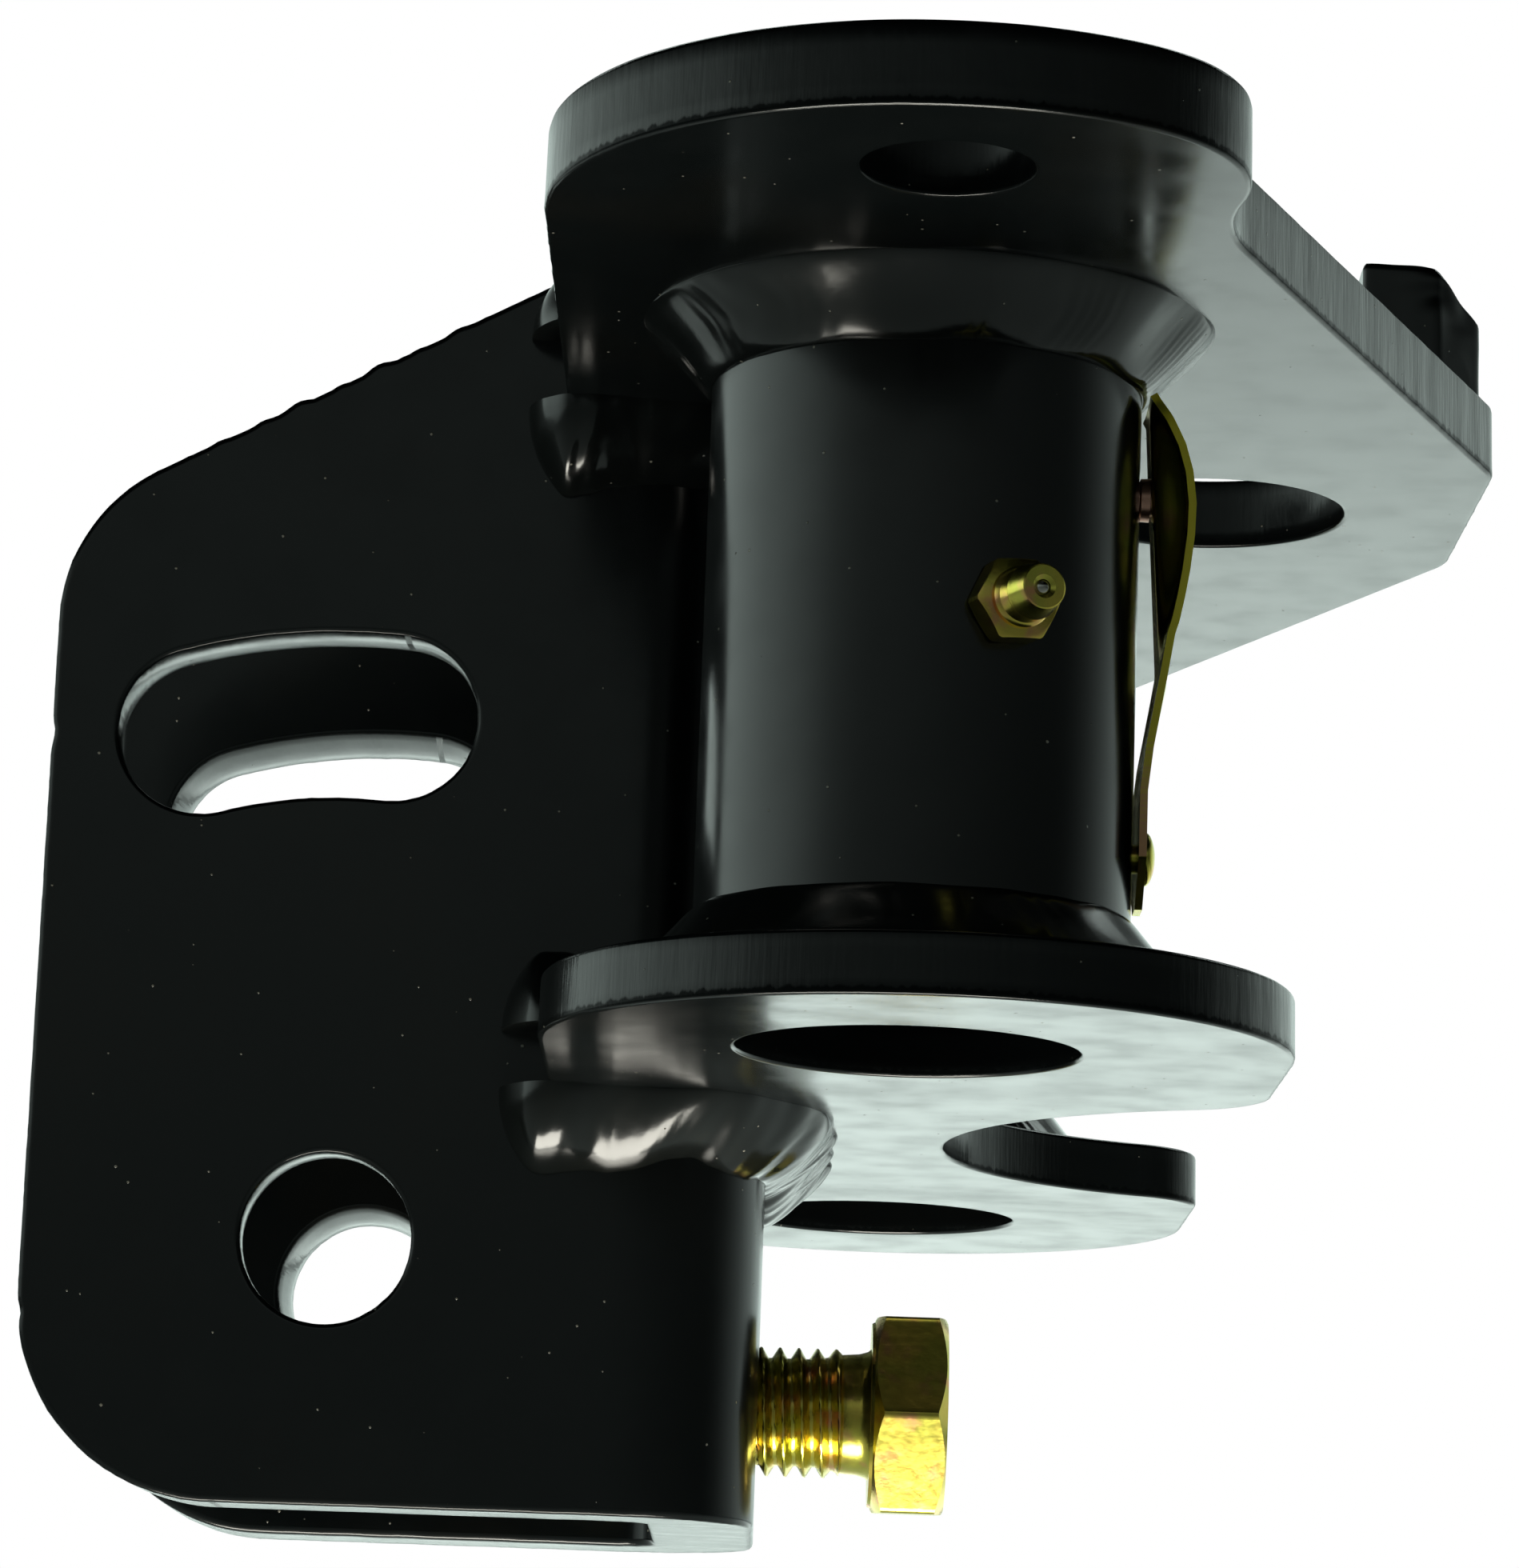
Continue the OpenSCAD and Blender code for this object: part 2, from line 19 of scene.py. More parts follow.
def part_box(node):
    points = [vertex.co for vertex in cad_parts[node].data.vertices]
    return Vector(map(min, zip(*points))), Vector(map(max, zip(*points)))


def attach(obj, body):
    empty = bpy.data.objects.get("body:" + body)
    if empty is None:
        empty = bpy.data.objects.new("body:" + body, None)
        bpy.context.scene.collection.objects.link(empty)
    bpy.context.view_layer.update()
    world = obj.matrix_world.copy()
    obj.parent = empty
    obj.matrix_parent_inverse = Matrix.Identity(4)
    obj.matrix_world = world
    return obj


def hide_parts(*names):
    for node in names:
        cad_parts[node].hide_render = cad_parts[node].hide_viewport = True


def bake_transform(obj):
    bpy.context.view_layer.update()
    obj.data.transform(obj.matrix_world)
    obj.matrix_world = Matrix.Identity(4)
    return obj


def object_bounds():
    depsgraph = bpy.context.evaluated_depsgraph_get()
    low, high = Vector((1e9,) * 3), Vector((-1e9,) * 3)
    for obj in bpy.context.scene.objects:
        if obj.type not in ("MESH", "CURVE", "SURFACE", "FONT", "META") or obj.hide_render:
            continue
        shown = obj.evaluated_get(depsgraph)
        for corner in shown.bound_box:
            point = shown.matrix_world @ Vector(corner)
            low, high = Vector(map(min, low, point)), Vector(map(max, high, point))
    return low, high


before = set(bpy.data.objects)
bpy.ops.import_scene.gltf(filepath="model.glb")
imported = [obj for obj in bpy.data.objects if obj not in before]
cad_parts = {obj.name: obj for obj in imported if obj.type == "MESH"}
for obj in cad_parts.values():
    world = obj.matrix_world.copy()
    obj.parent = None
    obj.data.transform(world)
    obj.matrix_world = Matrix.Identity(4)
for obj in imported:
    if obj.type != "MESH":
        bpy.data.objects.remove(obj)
CAD_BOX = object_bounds()

LOG = logging.getLogger("hitch_head")
MM = 0.001
HEAD = "hitch_head"
Points = np.ndarray
Colour = tuple[float, float, float]


class Side(Enum):
    """The two sides of the hitch, by their direction along Y."""

    LEFT = -1
    RIGHT = 1

    @property
    def word(self) -> str:
        """The side's name, as CAD nodes begin with it."""
        return self.name.lower()


def linked(name: str, data: bpy.types.ID) -> bpy.types.Object:
    """A new object in the scene that holds some data."""
    item = bpy.data.objects.new(name, data)
    bpy.context.scene.collection.objects.link(item)
    return item


def box_of(node: str) -> tuple[Points, Points]:
    """Lowest and highest corner of a CAD node, in millimetres."""
    low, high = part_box(node)
    return np.array(low) / MM, np.array(high) / MM


# ---- Lines and outlines ----


def arc(centre: Sequence[float], radius: float, start: float, end: float, step: float = 0.8) -> Points:
    """Points along an arc.

    Args:
        centre: Centre of the arc.
        radius: Radius.
        start: First angle, in degrees.
        end: Last angle, in degrees.
        step: Distance between points.

    Returns:
        The points, from start to end.
    """
    count = max(2, round(abs(math.radians(end - start)) * radius / step))
    angles = np.radians(np.linspace(start, end, count + 1))
    return np.stack([centre[0] + radius * np.cos(angles), centre[1] + radius * np.sin(angles)], 1)


def unit(angle: float) -> Points:
    """Unit vector at an angle in degrees."""
    return np.array([math.cos(math.radians(angle)), math.sin(math.radians(angle))])


def spaced(points: Points, step: float, closed: bool = True) -> Points:
    """The same line with its points about step apart.

    Args:
        points: Points of the line.
        step: Distance between the new points.
        closed: Whether the line ends where it starts.

    Returns:
        The new points. A closed line's first point isn't repeated.
    """
    line = np.vstack([points, points[:1]]) if closed else points
    lengths = np.concatenate([[0.0], np.cumsum(np.linalg.norm(np.diff(line, axis=0), axis=1))])
    count = max(3, round(lengths[-1] / step))
    marks = np.linspace(0.0, lengths[-1], count + 1)
    if closed:
        marks = marks[:-1]
    return np.stack([np.interp(marks, lengths, line[:, i]) for i in range(line.shape[1])], 1)


def outward(loop: Points) -> Points:
    """Unit normals of a counter-clockwise loop, pointing out of it."""
    along = np.roll(loop, -1, 0) - np.roll(loop, 1, 0)
    along /= np.linalg.norm(along, axis=1)[:, None]
    return np.stack([along[:, 1], -along[:, 0]], 1)


def counter_clockwise(loop: Points) -> Points:
    """The loop, turned round if it runs clockwise."""
    nxt = np.roll(loop, -1, 0)
    area = np.sum(loop[:, 0] * nxt[:, 1] - nxt[:, 0] * loop[:, 1])
    return loop if area > 0 else loop[::-1]


def inside(loop: Points, points: Points) -> Points:
    """Which points lie inside a closed loop, as booleans."""
    x, y = points[:, 0][:, None], points[:, 1][:, None]
    a, b = loop, np.roll(loop, -1, 0)
    crosses = (a[None, :, 1] > y) != (b[None, :, 1] > y)
    rise = np.where(b[:, 1] == a[:, 1], 1e-12, b[:, 1] - a[:, 1])
    at = a[None, :, 0] + (y - a[None, :, 1]) * ((b - a)[None, :, 0] / rise[None, :])
    return np.sum(crosses & (x < at), 1) % 2 == 1


def sway(marks: Points, total: float, short: float, long: float, seed: int) -> Points:
    """Smooth noise along a closed line, of about unit size.

    Args:
        marks: Distances along the line.
        total: The line's whole length.
        short: Shortest wave.
        long: Longest wave.
        seed: Seed of the noise.

    Returns:
        One value for each mark.
    """
    rng = np.random.default_rng(seed)
    waves = rng.integers(max(1, int(total / long)), max(2, int(total / short)) + 1, 24)
    phases = rng.uniform(0.0, math.tau, 24)
    return sum(np.sin(math.tau * k * marks / total + p) for k, p in zip(waves, phases)) / math.sqrt(12.0)


def bump(values: Points, middle: float, width: float) -> Points:
    """A smooth hump of unit height about a middle value."""
    return np.exp(-(((values - middle) / width) ** 2))


def smooth(values: Points, low: float, high: float) -> Points:
    """Rises smoothly from 0 at low to 1 at high."""
    t = np.clip((values - low) / (high - low), 0.0, 1.0)
    return t * t * (3.0 - 2.0 * t)


# ---- Meshes ----


@dataclass
class Shell:
    """A mesh in the making.

    Attributes:
        points: Points in millimetres.
        faces: Faces, as tuples of point numbers.
        skin: For each point, the distance along a cut edge, the depth in it, and 1 on a cut face or 0 elsewhere.
    """

    points: Points
    faces: list
    skin: Points | None = None

    def plus(self, other: "Shell") -> "Shell":
        """This shell and another one, as one."""
        offset = len(self.points)
        mine = self.skin if self.skin is not None else np.zeros((offset, 3))
        theirs = other.skin if other.skin is not None else np.zeros((len(other.points), 3))
        faces = self.faces + [tuple(i + offset for i in f) for f in other.faces]
        return Shell(np.vstack([self.points, other.points]), faces, np.vstack([mine, theirs]))

    def moved(self, change: Callable[[Points], Points]) -> "Shell":
        """This shell with each point changed by a function of all points."""
        return Shell(change(self.points), self.faces, self.skin)


def grid_faces(rows: int, columns: int, wrap_rows: bool = False, wrap_columns: bool = False) -> list:
    """Faces of a grid of points, numbered row by row."""
    faces = []
    for r in range(rows if wrap_rows else rows - 1):
        for c in range(columns if wrap_columns else columns - 1):
            r2, c2 = (r + 1) % rows, (c + 1) % columns
            faces.append((r * columns + c, r * columns + c2, r2 * columns + c2, r2 * columns + c))
    return faces


def revolve(profile: Points, count: int = 96, closed: bool = False) -> Shell:
    """Turns a profile of radius and height about Z.

    Args:
        profile: Points of radius and height, from one end to the other.
        count: Steps in the turn.
        closed: Whether the profile's last point joins its first.

    Returns:
        The shell. An open profile is capped where it doesn't reach the axis.
    """
    angles = np.linspace(0.0, math.tau, count, endpoint=False)
    rows = [np.stack([r * np.cos(angles), r * np.sin(angles), np.full(count, h)], 1) for r, h in profile]
    faces = grid_faces(len(profile), count, wrap_rows=closed, wrap_columns=True)
    if not closed:
        last = (len(profile) - 1) * count
        faces.append(tuple(reversed(range(count))))
        faces.append(tuple(range(last, last + count)))
    return Shell(np.vstack(rows), faces)


def about_z(points: Points, angle: float) -> Points:
    """Turns points about the Z axis by an angle in degrees."""
    c, s = unit(angle)
    return points @ np.array([[c, -s, 0.0], [s, c, 0.0], [0.0, 0.0, 1.0]]).T


def along_x(points: Points) -> Points:
    """Turns the Z axis to the X axis."""
    return np.stack([points[:, 2], points[:, 1], -points[:, 0]], 1)


def as_object(name: str, shell: Shell, sharp_deg: float = 35.0, merge: float = 1e-4) -> bpy.types.Object:
    """Makes a closed shell an object, with its faces pointing out.

    Args:
        name: Name of the piece.
        shell: The shell, in millimetres.
        sharp_deg: Edges that turn more than this stay sharp.
        merge: Points closer than this become one, in millimetres.

    Returns:
        The new object, with its place in its mesh.
    """
    mesh = bpy.data.meshes.new(name)
    points = np.clip(np.asarray(shell.points) * MM, *CAD_BOX)
    mesh.from_pydata(points.tolist(), [], shell.faces)
    if shell.skin is not None:
        layer = mesh.attributes.new("skin", "FLOAT_VECTOR", "POINT")
        layer.data.foreach_set("vector", shell.skin.astype(np.float32).ravel())
    work = bmesh.new()
    work.from_mesh(mesh)
    bmesh.ops.remove_doubles(work, verts=work.verts, dist=merge * MM)
    bmesh.ops.holes_fill(work, edges=[e for e in work.edges if e.is_boundary], sides=0)
    bmesh.ops.recalc_face_normals(work, faces=work.faces)
    work.to_mesh(mesh)
    work.free()
    mesh.shade_smooth()
    mesh.set_sharp_from_angle(angle=math.radians(sharp_deg))
    return linked(name, mesh)


def evaluated(piece: bpy.types.Object) -> bpy.types.Mesh:
    """The mesh that an object's modifiers make."""
    graph = bpy.context.evaluated_depsgraph_get()
    return bpy.data.meshes.new_from_object(piece.evaluated_get(graph))


def applied(piece: bpy.types.Object) -> bpy.types.Object:
    """Makes an object's modifiers part of its mesh, and removes them."""
    mesh = evaluated(piece)
    piece.modifiers.clear()
    old, piece.data = piece.data, mesh
    bpy.data.meshes.remove(old)
    return piece


@dataclass
class Sheet:
    """A piece cut from plate: an outline with holes, a thickness and the shape of its cut edges.

    Attributes:
        outline: Closed outline, in the sheet's own two directions.
        holes: Closed outlines of its holes.
        thickness: Thickness.
        edge: Points of inset and depth across the outline's cut edge.
        hole_edge: The same for the holes.
        step: Distance between points along the cuts.
        cell: Distance between the points inside the faces.
        burr: Size of the ragged lip on the cut's first face.
        waver: How far the cut wanders inwards.
        seed: Seed of the cut's roughness.
    """

    outline: Points
    holes: list
    thickness: float
    edge: Points
    hole_edge: Points
    step: float = 0.8
    cell: float = 5.0
    burr: float = 0.06
    waver: float = 0.04
    seed: int = 1

    def shell(self) -> Shell:
        """The sheet lying flat, with its depth along the third direction."""
        loops = [counter_clockwise(spaced(self.outline, self.step))]
        loops += [counter_clockwise(spaced(h, self.step)) for h in self.holes]
        points, skins, faces, rims = [], [], [], []
        offset = 0
        for number, loop in enumerate(loops):
            sign = 1.0 if number == 0 else -1.0
            profile = self.edge if number == 0 else self.hole_edge
            rows, skin = self._cut(loop, sign, profile, self.seed + number)
            points.append(rows.reshape(-1, 3))
            skins.append(skin.reshape(-1, 3))
            faces += [
                tuple(i + offset for i in f)
                for f in grid_faces(len(profile), len(loop), wrap_columns=True)
            ]
            first = offset + np.arange(len(loop))
            rims.append((first, first + (len(profile) - 1) * len(loop)))
            offset += rows.shape[0] * rows.shape[1]
        body = Shell(np.vstack(points), faces, np.vstack(skins))
        for last in (0, 1):
            self._cap(body, [rim[last] for rim in rims], last * self.thickness)
        return body

    def _cut(self, loop: Points, sign: float, profile: Points, seed: int) -> tuple[Points, Points]:
        """Rows of points across a cut edge, and their skin values."""
        normals = outward(loop) * sign
        steps = np.linalg.norm(np.roll(loop, -1, 0) - loop, axis=1)
        marks = np.concatenate([[0.0], np.cumsum(steps)[:-1]])
        total = float(steps.sum())
        waver = self.waver * smooth(sway(marks, total, 6.0, 30.0, seed), -2.0, 2.0)
        ragged = np.clip(sway(marks, total, 1.6, 6.0, seed + 50), 0.0, 1.5) ** 2 / 2.25
        rows, skin = [], []
        for inset, depth in profile:
            lip = self.burr * ragged * bump(np.array(depth), 0.5, 0.6)
            shift = -inset + lip - waver * (inset < 0.5)
            place = loop + normals * shift[:, None]
            rows.append(np.column_stack([place, np.full(len(loop), depth)]))
            cut = 1.0 if 0.2 < depth < self.thickness - 0.2 else 0.0
            skin.append(np.column_stack([marks, np.full(len(loop), depth), np.full(len(loop), cut)]))
        return np.array(rows), np.array(skin)

    def _cap(self, body: Shell, rims: list, depth: float) -> None:
        """Fills one face of the sheet between its rims."""
        flats = [body.points[rim][:, :2] for rim in rims]
        low, high = flats[0].min(0), flats[0].max(0)
        xs = np.arange(low[0] + self.cell / 2, high[0], self.cell)
        ys = np.arange(low[1] + self.cell / 2, high[1], self.cell)
        mid = np.array([(x, y) for x in xs for y in ys])
        keep = inside(flats[0], mid)
        for flat in flats[1:]:
            keep &= ~inside(flat, mid)
        for flat in flats:
            gap = np.min(np.linalg.norm(mid[:, None] - flat[None, ::2], axis=2), 1)
            keep &= gap > self.cell * 0.4
        mid = mid[keep]
        numbers = np.concatenate(rims)
        coords = [Vector(p) for p in np.vstack(flats + [mid])]
        edges, at = [], 0
        for flat in flats:
            edges += [(at + i, at + (i + 1) % len(flat)) for i in range(len(flat))]
            at += len(flat)
        out, _, triangles, origins, _, _ = delaunay_2d_cdt(coords, edges, [], 0, 1e-6)
        base = len(body.points)
        crossings = [i for i, o in enumerate(origins) if not o]
        names = [
            (int(numbers[o[0]]) if o[0] < len(numbers) else base + o[0] - len(numbers))
            if o else base + len(mid) + crossings.index(i)
            for i, o in enumerate(origins)
        ]
        mid = np.vstack([mid] + [np.array([out[i]]) for i in crossings])
        fresh = np.column_stack([mid, np.full(len(mid), depth)])
        centres = np.array([[sum(out[i][k] for i in t) / 3.0 for k in (0, 1)] for t in triangles])
        good = inside(flats[0], centres)
        for flat in flats[1:]:
            good &= ~inside(flat, centres)
        body.faces += [tuple(names[i] for i in t) for t, g in zip(triangles, good) if g]
        body.points = np.vstack([body.points, fresh])
        body.skin = np.vstack([body.skin, np.zeros((len(mid), 3))])


def cut_profile(t: float, round_low: float, round_high: float, taper: float = 0.1) -> Points:
    """Inset and depth across a cut edge, from one face to the other.

    Args:
        t: Thickness.
        round_low: Radius at the first face.
        round_high: Radius at the second face.
        taper: How far the second face stands back.

    Returns:
        Points of inset and depth.
    """
    turns = np.radians([0.0, 30.0, 60.0, 90.0])
    low = [(round_low * (1 - math.sin(a)), round_low * (1 - math.cos(a))) for a in turns]
    high = [
        (taper + round_high * (1 - math.cos(a)), t - round_high * (1 - math.sin(a))) for a in turns
    ]
    middle = [(taper * k, t * k) for k in (0.25, 0.4, 0.55, 0.7)]
    support = 0.2
    return np.array([(round_low + support, 0.0), *low, *middle, *high, (taper + round_high + support, t)])


def flared_profile(t: float, flare: float) -> Points:
    """Inset and depth across a punched hole, which widens towards the far face."""
    near = [(0.7, 0.0), (0.5, 0.0), (0.25, 0.1), (0.08, 0.3), (0.0, 0.7)]
    wall = [(0.0, t * 0.35), (flare * 0.25, t * 0.55), (flare * 0.65, t * 0.8)]
    far = [(flare, t - 0.5), (flare + 0.15, t - 0.15), (flare + 0.5, t), (flare + 0.7, t)]
    return np.array(near + wall + far)


# ---- Node trees ----


class Field:
    """A number that a node tree works out, with the usual arithmetic."""

    def __init__(self, tree: bpy.types.NodeTree, socket: bpy.types.NodeSocket) -> None:
        """Wraps a socket of a tree."""
        self.tree, self.socket = tree, socket

    def apply(self, operation: str, *others: "Field | float") -> "Field":
        """The result of a math node on this number and others."""
        node = self.tree.nodes.new("ShaderNodeMath")
        node.operation = operation
        self.tree.links.new(self.socket, node.inputs[0])
        for slot, other in zip(list(node.inputs)[1:], others):
            feed(self.tree, slot, other)
        return Field(self.tree, node.outputs[0])

    def __add__(self, other: "Field | float") -> "Field":
        """Sum."""
        return self.apply("ADD", other)

    def __sub__(self, other: "Field | float") -> "Field":
        """Difference."""
        return self.apply("SUBTRACT", other)

    def __mul__(self, other: "Field | float") -> "Field":
        """Product."""
        return self.apply("MULTIPLY", other)

    def __truediv__(self, other: "Field | float") -> "Field":
        """Quotient."""
        return self.apply("DIVIDE", other)


def feed(tree: bpy.types.NodeTree, slot: bpy.types.NodeSocket, value: object) -> None:
    """Links a number or socket to a slot, or sets the slot to a plain value."""
    if isinstance(value, Field):
        value = value.socket
    if isinstance(value, bpy.types.NodeSocket):
        tree.links.new(value, slot)
    else:
        slot.default_value = value


class Tree:
    """Short ways to add nodes to a tree."""

    def __init__(self, tree: bpy.types.NodeTree) -> None:
        """Wraps a tree."""
        self.tree = tree

    def add(self, kind: str, settings: dict | None = None, **inputs: object) -> bpy.types.Node:
        """Adds a node.

        Args:
            kind: The node's type.
            settings: Its own properties.
            **inputs: Values or sockets for its inputs, with spaces in their names as underscores.

        Returns:
            The node.
        """
        node = self.tree.nodes.new(kind)
        for key, value in (settings or {}).items():
            setattr(node, key, value)
        for key, value in inputs.items():
            feed(self.tree, node.inputs[key.replace("_", " ")], value)
        return node

    def field(self, socket: bpy.types.NodeSocket) -> Field:
        """A socket as a number for arithmetic."""
        return Field(self.tree, socket)

    def ramp(self, value: Field | bpy.types.NodeSocket, low: float, high: float) -> Field:
        """A value stretched smoothly from 0 at low to 1 at high."""
        node = self.add("ShaderNodeMapRange", {"interpolation_type": "SMOOTHSTEP"})
        feed(self.tree, node.inputs["Value"], value)
        node.inputs["From Min"].default_value = low
        node.inputs["From Max"].default_value = high
        return self.field(node.outputs["Result"])

    def mix(self, share: Field, first: object, second: object) -> bpy.types.NodeSocket:
        """A colour between two, by a share. Each is a colour or a socket."""
        node = self.add("ShaderNodeMix", {"data_type": "RGBA"})
        self.tree.links.new(share.socket, node.inputs[0])
        for slot, value in ((node.inputs[6], first), (node.inputs[7], second)):
            feed(self.tree, slot, (*value, 1.0) if isinstance(value, tuple) else value)
        return node.outputs[2]

    def noise(self, place: bpy.types.NodeSocket, scale: float, detail: float = 2.0) -> Field:
        """Noise at a place, from about 0 to 1."""
        node = self.add("ShaderNodeTexNoise", Vector=place, Scale=scale, Detail=detail)
        return self.field(node.outputs[0])

    def stretched(self, place: bpy.types.NodeSocket, scale: Sequence[float]) -> bpy.types.NodeSocket:
        """A place with its three directions scaled."""
        node = self.add("ShaderNodeMapping", Vector=place, Scale=tuple(scale))
        return node.outputs[0]


class Dress:
    """A shader tree with its surface shader, ready for a finish's pattern."""

    def __init__(self, name: str) -> None:
        """Starts a material under a name."""
        self.material = bpy.data.materials.new(name)
        self.material.use_nodes = True
        self.nodes = Tree(self.material.node_tree)
        self.shader = self.material.node_tree.nodes["Principled BSDF"]
        self.place = self.nodes.add("ShaderNodeTexCoord").outputs["Object"]

    def set(self, **inputs: object) -> None:
        """Sets the surface shader's inputs to values or sockets."""
        for key, value in inputs.items():
            feed(self.nodes.tree, self.shader.inputs[key.replace("_", " ")], value)

    def relief(self, height: Field, distance: float) -> None:
        """Adds bump of a real height, in metres, on top of what is there."""
        node = self.nodes.add("ShaderNodeBump", Height=height, Distance=distance, Strength=1.0)
        slot = self.shader.inputs["Normal"]
        if slot.is_linked:
            self.nodes.tree.links.new(slot.links[0].from_socket, node.inputs["Normal"])
        self.nodes.tree.links.new(node.outputs[0], slot)


@dataclass(frozen=True)
class PaintFinish:
    """Black enamel, as it lies on plate, tube or weld.

    Attributes:
        name: Name of the material.
        body: Colour of the paint.
        tint: Colour of its faint brownish clouds.
        gloss: Roughness where it is smoothest.
        dull: Roughness added in its dullest places.
        peel: Height of its orange peel, in metres.
        specks: Share of cells that hold a speck of dust.
    """

    name: str
    body: Colour
    tint: Colour
    gloss: float
    dull: float
    peel: float
    specks: float

    def material(self) -> bpy.types.Material:
        """Builds the paint."""
        dress = Dress(self.name)
        t, place = dress.nodes, dress.place
        clouds = t.ramp(t.noise(place, 38.0, 3.0), 0.45, 0.75)
        colour = t.mix(clouds, self.body, self.tint)
        cells = t.add("ShaderNodeTexVoronoi", Vector=place, Scale=640.0)
        size = t.noise(place, 900.0, 0.0)
        near = t.ramp(t.field(cells.outputs["Distance"]) / (size + 0.35), 0.13, 0.07)
        pick = t.add("ShaderNodeSeparateColor", Color=cells.outputs["Color"])
        chosen = t.field(pick.outputs[0]).apply("LESS_THAN", self.specks)
        dust = near * chosen
        colour = t.mix(dust, colour, (0.30, 0.28, 0.23))
        fine = t.noise(place, 2600.0, 2.0)
        dress.set(Base_Color=colour, IOR=1.52, Roughness=t.ramp(t.noise(place, 120.0, 4.0), 0.3, 0.8)
                  * self.dull + self.gloss)
        dress.relief(t.noise(place, 520.0, 3.0), self.peel)
        dress.relief(fine, self.peel * 0.12)
        skin = t.add("ShaderNodeAttribute", {"attribute_name": "skin"}).outputs["Vector"]
        parts = t.add("ShaderNodeSeparateXYZ", Vector=skin)
        depth, cut = t.field(parts.outputs[1]), t.field(parts.outputs[2])
        jag = t.noise(t.stretched(skin, (0.9, 0.0, 0.0)), 1.0, 3.0)
        rim = t.ramp(depth - jag * 1.6, 0.25, -0.15) * cut
        dress.set(Specular_IOR_Level=cut * -0.14 + 0.5 - rim * 0.30)
        streaks = t.noise(t.stretched(skin, (1.5, 0.10, 0.0)), 1.0, 4.0)
        coarse = t.noise(t.stretched(skin, (0.5, 0.16, 0.0)), 1.0, 2.0)
        dress.relief((streaks + coarse) * cut, 0.00004)
        dress.relief(dust, 0.00006)
        return dress.material


@dataclass(frozen=True)
class MetalFinish:
    """A bare or plated metal with clouds of colour.

    Attributes:
        name: Name of the material.
        shades: Three colours that its clouds pass through.
        gloss: Roughness where it is smoothest.
        dull: Roughness added in its dullest places.
        grain: Scale of its grain along X, Y and Z, in cells per metre.
        relief: Height of the grain, in metres.
        sheared_edge_and_highlight: Whether faces along Y are dull shear-cut edges, orange low and gold high; their
            bright non-metallic gold is partly a painted highlight.
    """

    name: str
    shades: tuple[Colour, Colour, Colour]
    gloss: float
    dull: float
    grain: tuple[float, float, float]
    relief: float
    sheared_edge_and_highlight: bool = False

    def material(self) -> bpy.types.Material:
        """Builds the metal."""
        dress = Dress(self.name)
        t, place = dress.nodes, dress.place
        first = t.ramp(t.noise(place, 170.0, 2.0), 0.35, 0.62)
        second = t.ramp(t.noise(place, 310.0, 3.0), 0.5, 0.75)
        colour = t.mix(second, t.mix(first, self.shades[0], self.shades[1]), self.shades[2])
        grain = t.noise(t.stretched(place, self.grain), 1.0, 4.0)
        dress.set(Base_Color=colour, Metallic=1.0, Roughness=grain * self.dull + self.gloss)
        if self.sheared_edge_and_highlight:
            facing = t.add("ShaderNodeSeparateXYZ", Vector=t.add("ShaderNodeNewGeometry").outputs["Normal"])
            edge = t.ramp(t.field(facing.outputs[1]).apply("ABSOLUTE"), 0.80, 0.95)
            height = t.field(t.add("ShaderNodeSeparateXYZ", Vector=place).outputs[2])
            # Painted highlight, in part: the cut edges get a bright non-metallic gold base, orange low and gold high,
            # that stands in for the light they catch.
            gold_edge_and_highlight = t.mix(t.ramp(height + grain * 0.012, 0.048, 0.060), (1.0, 0.52, 0.26), (1.0, 0.84, 0.05))
            dress.set(Base_Color=t.mix(edge, colour, gold_edge_and_highlight), Metallic=edge * -0.95 + 1.0,
                      Roughness=grain * self.dull + self.gloss + edge * 0.25)
        dress.relief(grain, self.relief)
        dress.relief(t.noise(place, 900.0, 3.0), self.relief * 1.5)
        return dress.material


BLACK = PaintFinish("black_enamel", (0.0036, 0.0048, 0.0050), (0.0052, 0.0056, 0.0050), 0.15, 0.09, 0.000003, 0.12)
WELD_BLACK = PaintFinish("black_enamel_on_weld", (0.0050, 0.0062, 0.0060), (0.0080, 0.0085, 0.0070), 0.12, 0.10,
                         0.000014, 0.12)
YELLOW_ZINC = MetalFinish("yellow_zinc_plating", ((0.86, 0.66, 0.12), (0.64, 0.60, 0.10), (0.86, 0.42, 0.20)),
                          0.14, 0.16, (900.0, 900.0, 900.0), 0.00001)
STRIP_ZINC = MetalFinish("zinc_plated_strip", ((0.80, 0.64, 0.08), (0.55, 0.60, 0.08), (0.84, 0.42, 0.24)),
                         0.14, 0.10, (300.0, 300.0, 2600.0), 0.00002, sheared_edge_and_highlight=True)
COPPER = MetalFinish("copper_pin", ((0.72, 0.42, 0.31), (0.62, 0.34, 0.26), (0.80, 0.55, 0.42)),
                     0.22, 0.16, (2200.0, 400.0, 400.0), 0.00001)
BARE_STEEL = MetalFinish("bare_steel", ((0.62, 0.60, 0.55), (0.55, 0.53, 0.48), (0.68, 0.66, 0.62)),
                         0.12, 0.10, (900.0, 900.0, 900.0), 0.000004)


class Paintbox:
    """The materials, each built once and kept by its finish's name."""

    def __init__(self) -> None:
        """Starts with no materials."""
        self._made: dict[str, bpy.types.Material] = {}

    def get(self, finish: PaintFinish | MetalFinish) -> bpy.types.Material:
        """The material of a finish."""
        if finish.name not in self._made:
            self._made[finish.name] = finish.material()
        return self._made[finish.name]


PAINTS = Paintbox()


